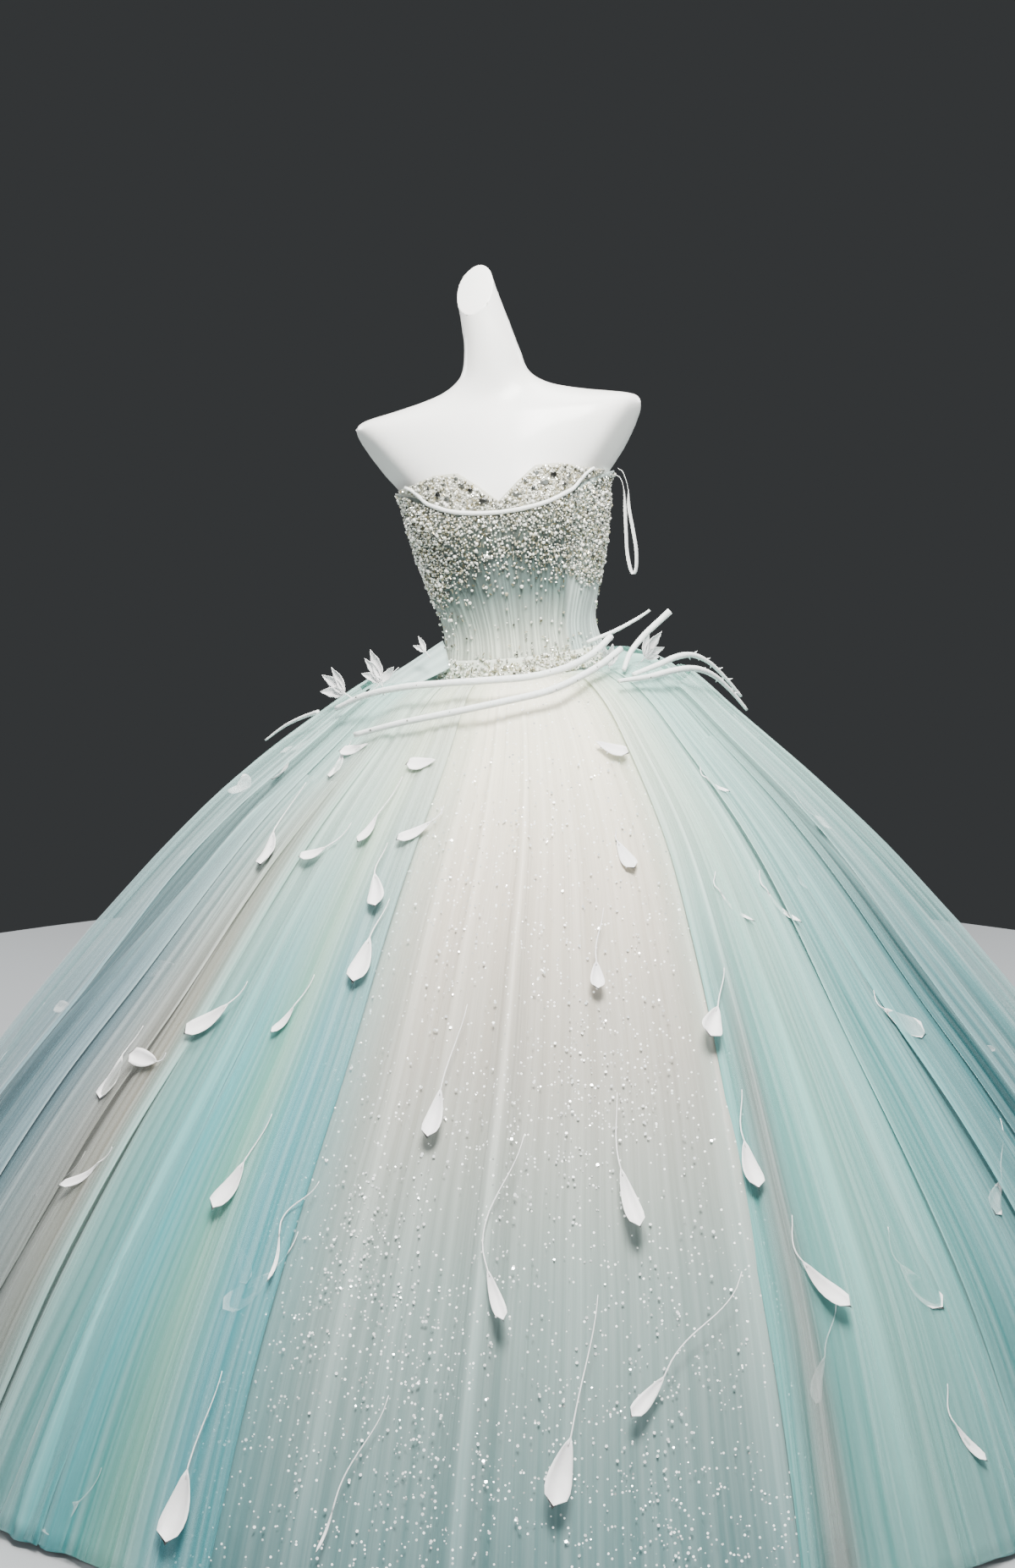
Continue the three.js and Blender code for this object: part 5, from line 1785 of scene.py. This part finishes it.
    def hidden_petals(self) -> list[tuple[float, ...]]:
        """Petals strewn over the sides and back that the front view doesn't show."""
        draw = random.Random(self.seed)
        rows = []
        while len(rows) < self.behind:
            azimuth = draw.uniform(82, 278)
            z = draw.uniform(0.08, 0.92) ** 0.9
            close = any(abs(azimuth - a) * 0.0175 * 0.7 < 0.11 and abs(z - b) < 0.08 for a, b, *_ in rows)
            if close or not 0.06 < z < 0.9:
                continue
            rows.append((azimuth, z, draw.gauss(0, 38), draw.uniform(0.045, 0.07), draw.uniform(0.3, 0.5),
                         draw.uniform(0.4, 0.8), draw.uniform(0.1, 0.6), draw.choice((0.0, 0.04, 0.07, 0.12, 0.16)),
                         draw.uniform(0.1, 0.6), draw.choice((0.002, 0.014, 0.016, 0.018))))
        return rows

    def spray(self, leaf: LeafSpray) -> bpy.types.Object:
        """One spray of leaves on its short stalk."""
        parts = []
        for turn, share in leaf.lobes:
            lobe = self.blade("lobe", leaf.length * share, 0.34, 0.7, 0.3, pointed=True)
            lobe.data.transform(Matrix.Rotation(math.radians(-turn), 4, "Z"))
            parts.append(lobe)
        stalk = [Vector((0, -leaf.length * 0.45, -0.002)), Vector((0.001, -leaf.length * 0.2, 0)), Vector((0, 0, 0)),
                 Vector((0, leaf.length * 0.15, 0))]
        parts.append(tube("stalk", curve_through(stalk, 3), 0.9 * MM, (1.0, 0.8), 2))
        joined = join_into(leaf.name + "_spray", parts)
        upright = Matrix.Rotation(math.radians(90), 4, "X")
        facing = Matrix.Rotation(math.radians(leaf.azimuth / 2), 4, "Z") @ upright
        turned = facing @ Matrix.Rotation(math.radians(-leaf.turn), 4, "Z")
        middle = Vector(polar(np.array(leaf.azimuth), np.array(leaf.reach), np.array(leaf.z)))
        joined.data.transform(Matrix.Translation(middle) @ turned)
        return joined

    def build(self) -> None:
        """Builds the twigs, their stones, the leaves and the petals."""
        bark = ShellFinish("wound white cloth", srgb(0xEEF1EF), 0.7, grain=160.0, bump=0.35,
                           shade=srgb(0xB9C6C4), uneven=0.35).build()
        cloth = ShellFinish("white leaf cloth", srgb(0xF3F1F1), 0.6, grain=90.0, bump=0.2,
                            shade=srgb(0xD9D5D6), uneven=0.2).build()
        dark = BeadFinish("dark bead", srgb(0x4A4A46), srgb(0x77776F), 0.3, 0.25, 0.5).build()
        for twig in self.twigs:
            dress(self.wind_twig(twig), bark, [twig.name])
        self.dots(dark)
        for leaf in self.leaves:
            made = self.spray(leaf)
            thicken(made, 0.5 * MM, 0.0)
            dress(made, cloth, [leaf.name])
        strewn = [self.petal(row) for row in self.petals]
        strewn += [self.petal(row, hidden=True) for row in self.hidden_petals()]
        made = join_into("strewn_petals", strewn)
        thicken(made, 0.5 * MM, 0.0)
        dress(made, cloth, [f"petal_{n:02d}" for n in range(1, 15)])


# ------------------------------------------------------------------ studio


@dataclass
class Studio:
    """Plain floor, grey backdrop, soft lights and the camera."""

    camera_at: tuple[float, float, float] = (0.0, -3.2, 1.43)
    pitch: float = 11.01
    yaw: float = 0.49
    lens: float = 47.58
    floor_radius: float = 2.5
    floor_colour: int = 0x9A9DA0

    def camera(self) -> None:
        """Sets the camera."""
        data = bpy.data.cameras.new("camera")
        data.lens = self.lens
        data.sensor_width = 36.0
        data.clip_start, data.clip_end = 0.05, 60.0
        made = bpy.data.objects.new("camera", data)
        made.location = self.camera_at
        made.rotation_euler = (math.radians(90 - self.pitch), 0.0, math.radians(self.yaw))
        bpy.context.scene.collection.objects.link(made)
        bpy.context.scene.camera = made

    def light(self, name: str, at: Sequence[float], aim: Sequence[float], size: float, power: float,
              colour: Colour = (1.0, 1.0, 1.0)) -> None:
        """Adds a soft square light aimed at a point."""
        data = bpy.data.lights.new(name, "AREA")
        data.shape, data.size, data.energy, data.color = "SQUARE", size, power, colour
        made = bpy.data.objects.new(name, data)
        made.location = at
        made.rotation_euler = (Vector(aim) - Vector(at)).to_track_quat("-Z", "Y").to_euler()
        bpy.context.scene.collection.objects.link(made)

    def floor(self) -> None:
        """Lays the plain round floor."""
        shape = bmesh.new()
        bmesh.ops.create_circle(shape, cap_ends=True, segments=128, radius=self.floor_radius)
        bmesh.ops.translate(shape, verts=shape.verts, vec=(0, 0, -0.0005))
        mesh = bpy.data.meshes.new("studio_floor")
        shape.to_mesh(mesh)
        shape.free()
        made = new_object("studio_floor", mesh)
        paper = Finish("studio paper", Roughness=0.9, Base_Color=srgb(self.floor_colour))
        mesh.materials.append(paper.material)

    def world(self) -> None:
        """Sets the even dark surroundings."""
        world = bpy.data.worlds.new("studio air")
        world.use_nodes = True
        world.node_tree.nodes["Background"].inputs[0].default_value = (0.9, 0.96, 1.0, 1.0)
        world.node_tree.nodes["Background"].inputs[1].default_value = 0.045
        bpy.context.scene.world = world

    def build(self) -> None:
        """Builds the whole studio."""
        self.camera()
        self.floor()
        self.world()
        self.light("key", (0.1, -1.5, 3.0), (0.0, -0.3, 1.05), 0.9, 225, (1.0, 0.99, 0.95))
        self.light("top", (0.0, 0.1, 3.4), (0.0, 0.0, 0.8), 1.4, 80, (1.0, 0.99, 0.97))
        self.light("fill front", (0.0, -4.6, 1.6), (0, 0, 0.8), 2.4, 30, (0.92, 0.98, 1.0))
        self.light("fill left", (-3.2, -2.6, 2.0), (0, 0, 0.7), 2.2, 34, (0.88, 0.97, 1.0))
        self.light("fill right", (3.2, -2.4, 2.0), (0, 0, 0.7), 2.2, 30, (0.88, 0.98, 1.0))
        self.light("rim left", (-2.4, 1.9, 1.9), (-0.5, 0, 0.7), 1.2, 70)
        self.light("rim right", (2.4, 1.9, 1.9), (0.5, 0, 0.7), 1.2, 70)


def main() -> None:
    """Builds the studio, the form and the gown, in order."""
    logging.basicConfig(level=logging.INFO, format="%(name)s %(message)s")
    for part in (Studio(), DressForm(), Bodice(), Skirt(), Ornament()):
        LOG.info("building %s", type(part).__name__)
        part.build()
    bpy.context.view_layer.update()


if __name__ == "__main__":
    main()
